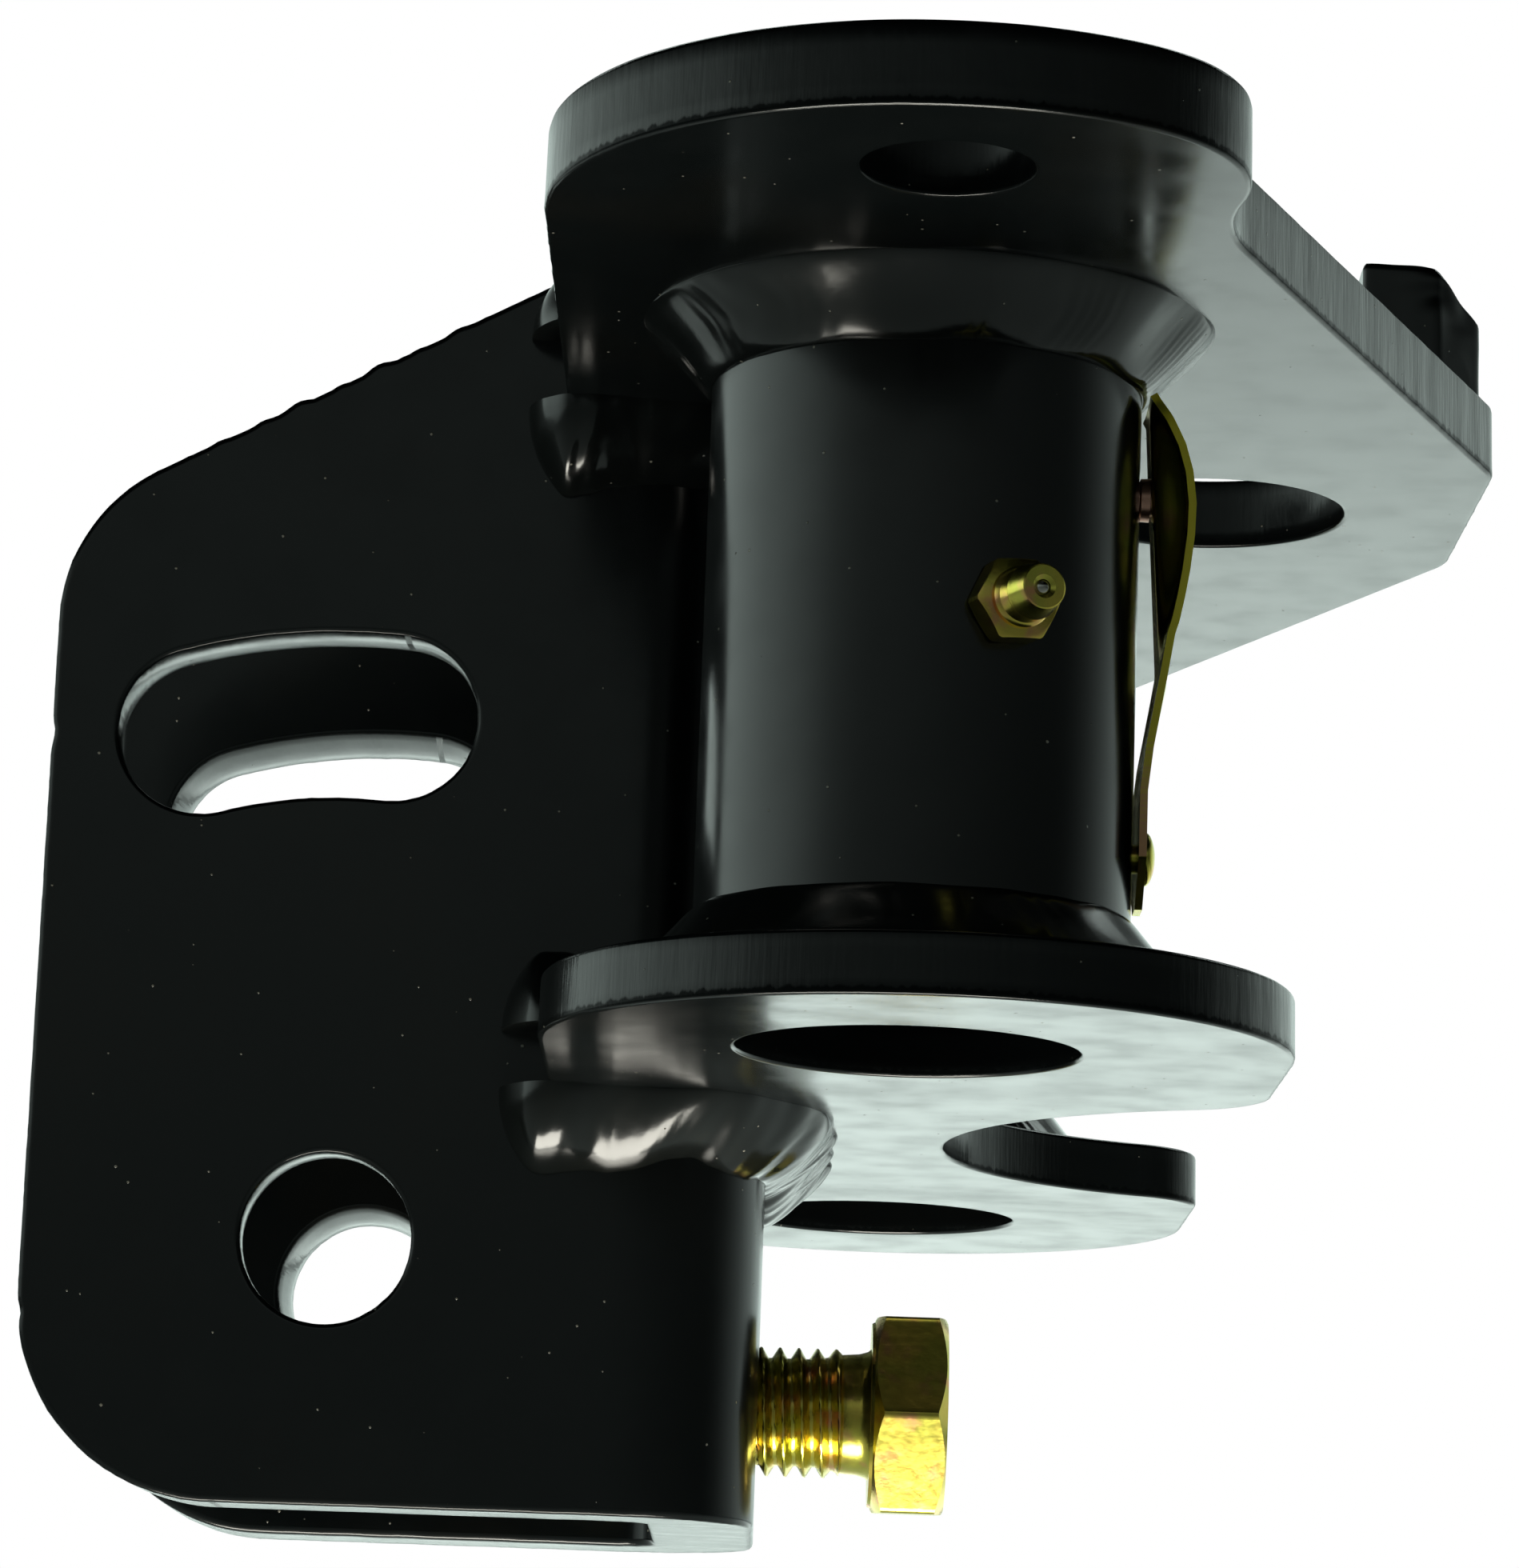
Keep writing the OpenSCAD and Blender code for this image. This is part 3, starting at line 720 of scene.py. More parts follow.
def winding_tree(name: str, sizes: Sequence[str]) -> tuple[Tree, list]:
    """Starts a geometry tree.

    Args:
        name: Name of the tree.
        sizes: Names of the sizes that it is given.

    Returns:
        The tree, and its sizes as sockets.
    """
    tree = bpy.data.node_groups.new(name, "GeometryNodeTree")
    tree.interface.new_socket("Geometry", in_out="INPUT", socket_type="NodeSocketGeometry")
    for size in sizes:
        tree.interface.new_socket(size, in_out="INPUT", socket_type="NodeSocketFloat")
    tree.interface.new_socket("Geometry", in_out="OUTPUT", socket_type="NodeSocketGeometry")
    t = Tree(tree)
    given = t.add("NodeGroupInput")
    return t, [given.outputs[size] for size in sizes]


def wound(t: Tree, last: bpy.types.Node, finish: MetalFinish, values: Sequence[float]) -> Shell:
    """Ends a geometry tree and makes its shape.

    Args:
        t: The tree.
        last: Its last node.
        finish: Finish of the shape.
        values: Values of the tree's sizes, in metres where they are lengths.

    Returns:
        The shape as a shell.
    """
    real = t.add("GeometryNodeRealizeInstances", Geometry=last.outputs[0])
    coated = t.add("GeometryNodeSetMaterial", Geometry=real.outputs[0], Material=PAINTS.get(finish))
    t.tree.links.new(coated.outputs[0], t.add("NodeGroupOutput").inputs[0])
    holder = linked("holder", bpy.data.meshes.new("holder"))
    modifier = holder.modifiers.new("shape", "NODES")
    modifier.node_group = t.tree
    inputs = [s for s in t.tree.interface.items_tree if s.item_type == "SOCKET" and s.in_out == "INPUT"]
    for socket, value in zip(inputs[1:], values):
        modifier[socket.identifier] = value
    mesh = evaluated(holder)
    bpy.data.objects.remove(holder)
    points = np.array([v.co for v in mesh.vertices]) / MM
    return Shell(points, [tuple(p.vertices) for p in mesh.polygons])


def place_piece(
    piece: bpy.types.Object, finish: PaintFinish | MetalFinish, slot: str, body: str | None, *nodes: str
) -> bpy.types.Object:
    """Gives a piece its finish, its body and the CAD nodes that it stands for.

    Args:
        piece: The piece.
        finish: Its finish.
        slot: The record's material slot; not used.
        body: The body that it rides on, or None to leave it on no body, for a piece that spans two.
        *nodes: The CAD nodes that it replaces.

    Returns:
        The piece.
    """
    piece.data.materials.clear()
    piece.data.materials.append(PAINTS.get(finish))
    if body:
        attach(piece, body)
    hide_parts(*nodes)
    LOG.info("%s: %d faces", piece.name, len(piece.data.polygons))
    return piece


# ---- Bracket ----


@dataclass
class ChannelBracket:
    """The bent plate that straddles the shank, with its pivot holes and tilt slots."""

    thickness: float = 12.7
    half_width: float = 38.3
    bend: float = 17.0
    lower_corner: float = 23.5
    upper_corner: float = 21.0
    crown: float = 14.0
    brow_slope: float = 28.0
    brow_z: float = 85.8
    hole_r: float = 10.0
    flare: float = 0.9
    slot_arc: float = 62.4
    slot_front: float = 106.4
    slot_rear: float = 85.4
    bolt_z: float = -15.3
    bolt_hole_r: float = 8.0
    nick: float = 0.35
    nicks_z: tuple[float, float] = (59.0, -9.9)

    def __post_init__(self) -> None:
        """Takes the bracket's outer sizes from its CAD node."""
        low, high = box_of("channel_bracket")
        self.front, self.rear, self.bottom, self.top = low[0], high[0], low[2], high[2]
        self.flat_half = self.half_width - self.bend
        self.bend_l = self.bend * math.pi / 2
        self.cheek_end = self.rear - self.bend

    def run(self, x: float | Points) -> float | Points:
        """Distance round the outside from the middle of the back wall to a place x on a cheek."""
        return self.flat_half + self.bend_l + self.cheek_end - x

    def outline(self) -> Points:
        """Outline of the whole plate before it is bent, with the brow's small burrs."""
        lower = arc((self.front + self.lower_corner, self.bottom + self.lower_corner), self.lower_corner, 270, 180)
        rise = self.upper_corner * math.tan(math.radians((90 - self.brow_slope) / 2))
        upper_at = (self.front + self.upper_corner, self.brow_z - rise)
        upper = arc(upper_at, self.upper_corner, 180, 90 + self.brow_slope)
        crown_x = self.front + (self.top - self.brow_z) / math.tan(math.radians(self.brow_slope))
        reach = self.crown * math.tan(math.radians(self.brow_slope / 2))
        crown = arc((crown_x + reach, self.top - self.crown), self.crown, 90 + self.brow_slope, 90)
        side = spaced(np.vstack([lower, upper, crown]), 0.8, closed=False)
        brow = smooth(side[:, 0], -22.0, -12.0) * (1 - smooth(side[:, 0], 8.0, 14.0)) * (side[:, 1] > 80.0)
        wave = 0.28 * np.sin(side[:, 0] * 1.35) + 0.22 * np.sin(side[:, 0] * 0.61 + 1.0)
        side[:, 1] += brow * np.clip(wave, -0.1, None)
        nick = sum(bump(side[:, 1], z, 1.2) for z in self.nicks_z)
        side[:, 0] += self.nick * nick * (side[:, 0] < self.front + 1.0)
        left = np.column_stack([-self.run(side[:, 0]), side[:, 1]])
        right = np.column_stack([self.run(side[:, 0]), side[:, 1]])[::-1]
        return np.vstack([left, right])

    def slot(self) -> Points:
        """Outline of a tilt slot, in X and Z."""
        r, rear, front = self.hole_r, self.slot_rear, self.slot_front
        return np.vstack([
            arc((0, 0), self.slot_arc + r, rear, front),
            arc(self.slot_arc * unit(front), r, front, front + 180)[1:],
            arc((0, 0), self.slot_arc - r, front, rear)[1:],
            arc(self.slot_arc * unit(rear), r, rear - 180, rear)[1:-1],
        ])

    def bent(self, flat: Points) -> Points:
        """Folds the flat plate: round distance, height and depth become a place."""
        run, height, depth = np.abs(flat[:, 0]), flat[:, 1], flat[:, 2]
        side = np.sign(flat[:, 0])
        turn = np.clip((run - self.flat_half) / self.bend, 0.0, math.pi / 2)
        r = self.bend - depth
        beyond = np.clip(run - self.flat_half - self.bend_l, 0.0, None)
        x = self.cheek_end + r * np.cos(turn) - beyond
        y = np.minimum(run, self.flat_half) + r * np.sin(turn)
        return np.column_stack([x, side * y, height])

    def build(self) -> None:
        """Builds the bracket."""
        holes = []
        pivot = arc((0, 0), self.hole_r, 0, 360)[:-1]
        for hole in (pivot, self.slot()):
            flat = np.column_stack([self.run(hole[:, 0]), hole[:, 1]])
            holes += [flat, flat * (-1, 1)]
        tapped = arc((0, self.bolt_z), self.bolt_hole_r, 0, 360)[:-1]
        edge = cut_profile(self.thickness, 0.7, 0.8)
        sheet = Sheet(self.outline(), [*holes, tapped], self.thickness, edge,
                      flared_profile(self.thickness, self.flare), cell=3.0, burr=0.05, seed=11)
        piece = as_object("bent_channel", sheet.shell().moved(self.bent))
        place_piece(piece, BLACK, "black_paint", HEAD, "channel_bracket")


# ---- Plates ----


@dataclass
class BallPlate:
    """The upper plate, with its lobes, waist and holes."""

    lobe_r: float = 41.3
    lobe_y: float = 117.5
    shoulder_r: float = 23.0
    shoulder_a: float = 60.8
    waist_r: float = 30.0
    slant: float = 23.1
    rear_y: float = 23.0
    corner_r: float = 12.0
    ball_hole: tuple[float, float] = (104.0, 17.4)
    sway_hole: tuple[float, float, float] = (66.2, 138.2, 9.0)

    def __post_init__(self) -> None:
        """Takes the plate's place and thickness from its CAD node."""
        low, high = box_of("ball_plate")
        self.front, self.rear = low[0], high[0]
        self.bottom, self.thickness = low[2], high[2] - low[2]

    def side(self) -> Points:
        """Right half of the outline, from the front round to the rear."""
        lobe = np.array([self.front + self.lobe_r, self.lobe_y])
        shoulder = lobe + (self.lobe_r - self.shoulder_r) * unit(self.shoulder_a)
        normal, way = unit(self.slant), unit(90 + self.slant)
        corner = np.array([self.rear, self.rear_y])
        base = (normal @ corner + self.waist_r) * normal
        gap = shoulder - base
        reach = math.sqrt((self.waist_r + self.shoulder_r) ** 2 - float(gap @ normal) ** 2)
        waist = base + (float(gap @ way) - reach) * way
        waist_a = math.degrees(math.atan2(*(waist - shoulder)[::-1]))
        tangent = self.corner_r * math.tan(math.radians(self.slant / 2))
        return np.vstack([
            arc(lobe, self.lobe_r, 180, self.shoulder_a),
            arc(shoulder, self.shoulder_r, self.shoulder_a, waist_a)[1:],
            arc(waist, self.waist_r, waist_a + 180, 180 + self.slant),
            arc(corner + (-self.corner_r, -tangent), self.corner_r, self.slant, 0, 0.5),
        ])

    def build(self, bracket: ChannelBracket) -> None:
        """Builds the plate around the bracket."""
        side = self.side()
        outline = np.vstack([side, (side * (1, -1))[::-1], bracket_notch(bracket, self.front)])
        x, y, r = self.sway_hole
        holes = [arc((self.ball_hole[0], 0), self.ball_hole[1], 0, 360)[:-1]]
        holes += [arc((x, s * y), r, 0, 360)[:-1] for s in (-1, 1)]
        edge = cut_profile(self.thickness, 0.5, 0.7)
        sheet = Sheet(outline, holes, self.thickness, edge, cut_profile(self.thickness, 0.45, 0.5), seed=21)
        piece = as_object("upper_plate", sheet.shell().moved(lambda p: p + (0, 0, self.bottom)))
        place_piece(piece, BLACK, "black_paint", HEAD, "ball_plate")


def bracket_notch(bracket: ChannelBracket, front: float) -> Points:
    """Edge of a plate's opening for the bracket, from left to right, with a hair of room."""
    room = 0.03
    r = bracket.bend + room
    right = np.vstack([
        [(front, bracket.half_width + room)],
        arc((bracket.cheek_end, bracket.flat_half), r, 90, 0),
    ])
    return np.vstack([right * (1, -1), right[::-1]])


@dataclass
class SocketPlate:
    """The lower plate, with its two lobes, the notch and the guide holes."""

    lobe_r: float = 41.5
    notch: tuple[float, float] = (118.0, 45.0)
    corner_r: float = 13.0
    hole_r: float = 19.05
    at: tuple[float, float] = (66.2, 78.6)
    dish: float = 0.25

    def __post_init__(self) -> None:
        """Takes the plate's place and thickness from its CAD node."""
        low, high = box_of("socket_plate")
        self.front = low[0]
        self.bottom, self.thickness = low[2], high[2] - low[2]

    def side(self) -> Points:
        """Right half of the outline, from the front round to the notch's middle."""
        lobe = np.array([self.front + self.lobe_r, self.at[1]])
        x = lobe[0] + self.lobe_r - self.corner_r
        rise = math.sqrt((self.notch[1] + self.corner_r) ** 2 - (self.notch[0] - x) ** 2)
        corner, notch = np.array([x, rise]), np.array([self.notch[0], 0.0])
        a = math.degrees(math.atan2(*(corner - notch)[::-1]))
        return np.vstack([
            arc(lobe, self.lobe_r, 180, 0),
            arc(corner, self.corner_r, 0, a - 180)[1:],
            arc(notch, self.notch[1], a, 180)[1:],
        ])

    def dished(self, points: Points) -> Points:
        """Sets the plate at its height, drawn down a little about each socket by its weld."""
        away = np.hypot(points[:, 0] - self.at[0], np.abs(points[:, 1]) - self.at[1])
        ring = bump(away, 24.0, 9.0)
        low = points[:, 2] < self.thickness / 2
        return points + np.column_stack([np.zeros((len(points), 2)), self.bottom + self.dish * ring * low])

    def build(self, bracket: ChannelBracket) -> None:
        """Builds the plate around the bracket."""
        side = self.side()
        outline = np.vstack([side, (side * (1, -1))[::-1], bracket_notch(bracket, self.front)])
        holes = [arc((self.at[0], s * self.at[1]), self.hole_r, 0, 360)[:-1] for s in (-1, 1)]
        edge = cut_profile(self.thickness, 0.45, 0.6)
        sheet = Sheet(outline, holes, self.thickness, edge, cut_profile(self.thickness, 0.4, 0.4),
                      cell=4.0, burr=0.06, seed=31)
        piece = as_object("lower_plate", sheet.shell().moved(self.dished))
        place_piece(piece, BLACK, "black_paint", HEAD, "socket_plate")


# ---- Sockets ----


@dataclass
class SpringBarSocket:
    """One socket tube with its two ring welds."""

    side: Side
    bore: float = 19.55
    leg: float = 8.0
    pin_hole_r: float = 3.8
    back: float = 0.8
    ripple: float = 0.035
    ripple_pitch: float = 3.4
    wave: float = 0.10
    hollow: float = 0.30

    def __post_init__(self) -> None:
        """Takes the tube's axis, radius and ends from its CAD node."""
        low, high = box_of(f"{self.side.word}_socket_tube")
        self.x, self.y = (low[0] + high[0]) / 2, (low[1] + high[1]) / 2
        self.r = (high[0] - low[0]) / 2
        self.low, self.high = low[2], high[2]

    def to_place(self, points: Points) -> Points:
        """Moves points about the tube's axis to the tube."""
        return points + (self.x, self.y, 0.0)

    def build_tube(self, pin_z: float) -> None:
        """Builds the tube, with the hole for its lock pin."""
        rows = np.linspace(self.low, self.high, 40)
        outside = [(self.r, z) for z in rows]
        within = [(self.bore, z) for z in rows[::-1]]
        tube = as_object(f"{self.side.word}_tube", revolve(np.array(outside + within), 160, closed=True).moved(
            self.to_place))
        drill = revolve(np.array([(self.pin_hole_r, 0.0), (self.pin_hole_r, self.r + 5.0)]), 40)
        cutter = as_object("drill", drill.moved(along_x).moved(lambda p: p + (self.x, self.y, pin_z)))
        cut = tube.modifiers.new("pin hole", "BOOLEAN")
        cut.object, cut.operation, cut.solver = cutter, "DIFFERENCE", "EXACT"
        applied(tube)
        bpy.data.objects.remove(cutter)
        tube.data.shade_smooth()
        tube.data.set_sharp_from_angle(angle=math.radians(35.0))
        place_piece(tube, BLACK, "black_paint", HEAD, f"{self.side.word}_socket_tube")

    def build_weld(self, upper: bool) -> None:
        """Builds a ring weld: a fillet with slanted ripples and a wandering toe."""
        turns, across = 420, 22
        theta = np.linspace(0.0, math.tau, turns, endpoint=False)
        round_l = math.tau * (self.r + self.leg / 2)
        marks = theta / math.tau * round_l
        seed = 60 + (3 if upper else 0) + self.side.value
        wander = sway(marks, round_l, 14.0, 60.0, seed)
        small = sway(marks, round_l, 3.0, 9.0, seed + 9)
        leg_out = self.leg + 0.16 * wander + 0.012 * small
        leg_up = self.leg * 0.97 - 0.07 * wander + 0.02 * sway(marks, round_l, 6.0, 20.0, seed + 19)
        phi = np.linspace(0.0, math.pi / 2, across)
        fullness = 1.7 if upper else 1.9
        out = np.cos(phi)[None, :] ** fullness
        up = np.sin(phi)[None, :] ** fullness
        lean = marks[:, None] / self.ripple_pitch + 1.3 * np.abs(phi - 0.8)[None, :] + 0.9 * wander[:, None]
        crest = np.sin(math.pi * lean) ** 2
        strength = np.clip(0.5 + 0.7 * sway(marks, round_l, 12.0, 50.0, seed + 29), 0.05, 1.2)[:, None]
        swell = self.hollow * np.sin(3 * phi - 0.5)[None, :] * np.sin(2 * phi)[None, :]
        lift = (self.ripple * crest * strength + self.wave * wander[:, None]) * np.sin(2 * phi)[None, :] - swell
        radius = self.r + leg_out[:, None] * out + lift
        height = leg_up[:, None] * up + lift
        sign = -1.0 if upper else 1.0
        foot = self.high if upper else self.low
        radius = np.column_stack([radius, np.full((turns, 2), self.r - self.back)])
        height = np.column_stack([height, np.full(turns, self.leg * 0.9), np.full(turns, 0.0)])
        z = foot + sign * np.clip(height, 0.0, None)
        points = np.stack([radius * np.cos(theta)[:, None], radius * np.sin(theta)[:, None], z], 2)
        shell = Shell(points.reshape(-1, 3), grid_faces(turns, across + 2, wrap_rows=True, wrap_columns=True))
        level = "upper" if upper else "lower"
        piece = as_object(f"{self.side.word}_{level}_fillet", shell.moved(self.to_place), 60.0)
        node = f"{self.side.word}_{level}_ring_weld"
        place_piece(piece, WELD_BLACK, "painted_weld", HEAD, node)


# ---- Bracket welds ----


@dataclass
class SeamWeld:
    """A weld bead that runs round the bracket's outside in the corner with a plate."""

    name: str
    node: str
    height: float
    up: int
    bracket: ChannelBracket
    start_x: float = 19.5
    leg: float = 8.0
    swell: float = 0.22
    end_r: float = 6.0
    ripple: float = 0.06
    ripple_pitch: float = 2.9
    lump: float = 0.09
    seed: int = 1

    def path(self) -> tuple[Points, Points]:
        """Points along the bracket's outside, and the directions away from it there."""
        b = self.bracket
        reach = b.run(self.start_x)
        spread = np.linspace(-1.0, 1.0, 520)
        runs = reach * np.sign(spread) * (1.0 - (1.0 - np.abs(spread)) ** 1.5)
        flat = np.column_stack([runs, np.full(len(runs), 0.0), np.zeros(len(runs))])
        at = b.bent(flat)
        further = b.bent(flat - (0.0, 0.0, 1.0))
        return at, further - at

    def build(self) -> None:
        """Builds the bead, with rounded ends and slanted ripples."""
        at, away = self.path()
        steps = np.linalg.norm(np.diff(at, axis=0), axis=1)
        marks = np.concatenate([[0.0], np.cumsum(steps)])
        total = float(marks[-1])
        from_end = np.minimum(marks, total - marks)
        ends = np.sqrt(np.clip(1.0 - np.clip(1.0 - from_end / self.end_r, 0.0, 1.0) ** 2, 0.0004, 1.0))
        wander = sway(marks, total, 12.0, 50.0, self.seed)
        small = sway(marks, total, 3.0, 8.0, self.seed + 7)
        blob = 1.0 + self.swell * bump(from_end, 6.0, 6.0)
        leg_out = self.leg * (1.0 + 0.05 * wander + 0.006 * small) * ends * blob
        leg_up = self.leg * (1.0 - 0.05 * wander + 0.008 * small) * ends * blob
        across = 20
        phi = np.linspace(0.0, math.pi / 2, across)
        full = (1.55 - 0.55 * bump(from_end, 4.0, 7.0))[:, None]
        out, up = np.cos(phi)[None, :] ** full, np.sin(phi)[None, :] ** full
        lean = marks[:, None] / self.ripple_pitch + 2.2 * np.sin(phi)[None, :] + 0.7 * wander[:, None]
        crest = np.sin(math.pi * lean) ** 2
        fold = (total - self.bracket.bend_l) / 2 - self.bracket.flat_half
        calm = 1.0 - 0.85 * bump(from_end, fold, self.bracket.bend)
        strength = calm * np.clip(0.7 + 0.6 * sway(marks, total, 9.0, 40.0, self.seed + 13), 0.1, 1.4)
        strength = strength[:, None]
        lump = self.lump * sway(marks, total, 6.0, 22.0, self.seed + 21)[:, None]
        lift = (self.ripple * crest * strength + lump) * np.sin(2 * phi)[None, :] * ends[:, None]
        reach = np.column_stack([leg_out[:, None] * out + lift, -np.ones((len(marks), 2))])
        rise = np.column_stack([leg_up[:, None] * up + lift, leg_up * 0.9, np.zeros(len(marks))])
        points = at[:, None, :] + away[:, None, :] * reach[:, :, None]
        points[:, :, 2] = self.height + self.up * rise
        rows, columns = len(marks), across + 2
        faces = grid_faces(rows, columns, wrap_columns=True)
        faces += [tuple(reversed(range(columns))), tuple(range((rows - 1) * columns, rows * columns))]
        piece = as_object(self.name, Shell(points.reshape(-1, 3), faces), 60.0)
        place_piece(piece, WELD_BLACK, "painted_weld", HEAD, self.node)


# ---- Fasteners ----


def hexagon(af: float, thickness: float, chamfer: float, count: int = 240) -> Shell:
    """A hexagonal head standing on Z, with chamfered corners.

    Args:
        af: Width across the flats.
        thickness: Height.
        chamfer: Radius of the flat faces inside the chamfers, as a share of half the width.
        count: Points round it.

    Returns:
        The shell, with a corner along +X.
    """
    theta = np.linspace(0.0, math.tau, count, endpoint=False)
    fold = np.mod(theta, math.pi / 3) - math.pi / 6
    side = np.minimum(af / 2 / np.cos(fold), af / math.sqrt(3.0) - 0.12)
    inner = np.minimum(side, af / 2 * chamfer)
    slant = (side - inner) * math.tan(math.radians(30.0))
    rows = [(inner, np.zeros(count)), (side, slant), (side, thickness - slant), (inner, np.full(count, thickness))]
    points = [np.stack([r * np.cos(theta), r * np.sin(theta), z], 1) for r, z in rows]
    faces = grid_faces(4, count, wrap_columns=True)
    faces += [tuple(reversed(range(count))), tuple(range(3 * count, 4 * count))]
    return Shell(np.vstack(points), faces)


@dataclass
class AdjustingBolt:
    """The tilt adjusting bolt: head, neck and a real helical thread."""

    af: float = 23.8
    head_t: float = 9.7
    face_gap: float = 0.4
    thread_r: float = 7.9
    pitch: float = 2.309
    depth: float = 1.32
    neck_r: float = 7.2
    neck_l: float = 3.6
    turn_deg: float = 3.0

    def __post_init__(self) -> None:
        """Takes the bolt's ends and axis from its CAD node."""
        low, high = box_of("adjusting_bolt")
        self.tip_x, self.end_x = low[0], high[0]
        self.z = (low[2] + high[2]) / 2
        self.head_x = self.end_x - self.head_t
        self.thread_l = self.head_x - self.neck_l - self.tip_x

    def thread(self) -> Shell:
        """The thread with its tip at 0 on Z, wound by geometry nodes."""
        t, sizes = winding_tree("screw_thread", ("Length", "Crest radius", "Depth", "Pitch"))
        length, crest, depth, pitch = (t.field(size) for size in sizes)
        grid = t.add("GeometryNodeMeshGrid", Size_X=1.0, Size_Y=1.0, Vertices_X=97, Vertices_Y=260)
        spot = t.add("ShaderNodeSeparateXYZ", Vector=t.add("GeometryNodeInputPosition").outputs[0])
        turn = t.field(spot.outputs[0]) + 0.5
        height = (t.field(spot.outputs[1]) + 0.5) * length
        phase = (height / pitch - turn + 0.38).apply("FRACT")
        flank = (phase * 2.0 - 1.0).apply("ABSOLUTE") * -1.0 + 1.0
        ridge = ((flank - 0.2) * 1.45).apply("MINIMUM", 1.0).apply("MAXIMUM", 0.0)
        runout = ((height - length) / pitch * -0.7).apply("MINIMUM", 1.0).apply("MAXIMUM", 0.0)
        radius = crest - depth * (ridge * -1.0 + 1.0) * (runout * 0.4 + 0.6)
        radius = radius.apply("MINIMUM", height * 0.9 + crest * 0.76)
        angle = turn * math.tau
        place = t.add("ShaderNodeCombineXYZ", X=radius * angle.apply("COSINE"), Y=radius * angle.apply("SINE"),
                      Z=height)
        moved = t.add("GeometryNodeSetPosition", Geometry=grid.outputs[0], Position=place.outputs[0])
        joined = t.add("GeometryNodeMergeByDistance", Geometry=moved.outputs[0], Distance=1e-7)
        values = [size * MM for size in (self.thread_l, self.thread_r, self.depth, self.pitch)]
        return wound(t, joined, YELLOW_ZINC, values)

    def build(self) -> None:
        """Builds the bolt."""
        thread = self.thread()
        top = self.thread_l + self.neck_l
        neck = revolve(np.array([
            (self.neck_r - 0.5, self.thread_l - 1.2), (self.neck_r, self.thread_l - 0.4),
            (self.neck_r + 0.2, top - 1.4), (self.neck_r + 0.5, top - 0.4), (self.neck_r + 1.0, top + 0.2),
        ]), 96)
        tip = revolve(np.array([(2.0, 0.02), (self.thread_r * 0.74, 0.02), (self.thread_r * 0.8, 1.2)]), 96)
        washer = revolve(np.array([(self.af * 0.47, top + 0.01), (self.af * 0.48, top + self.face_gap + 0.1)]), 96)
        head = hexagon(self.af, self.head_t - 2 * self.face_gap, 0.97)
        head = head.moved(lambda p: about_z(p, self.turn_deg + 90.0) + (0, 0, top + self.face_gap))
        whole = thread.plus(neck).plus(tip).plus(washer).plus(head)
        piece = as_object("tilt_bolt_steel", whole.moved(self.to_place), 28.0)
        place_piece(piece, YELLOW_ZINC, "yellow_zinc", "tilt_bolt", "adjusting_bolt")

    def to_place(self, points: Points) -> Points:
        """Turns Z to X and sets the tip at its place."""
        return along_x(points) + (self.tip_x, 0.0, self.z)


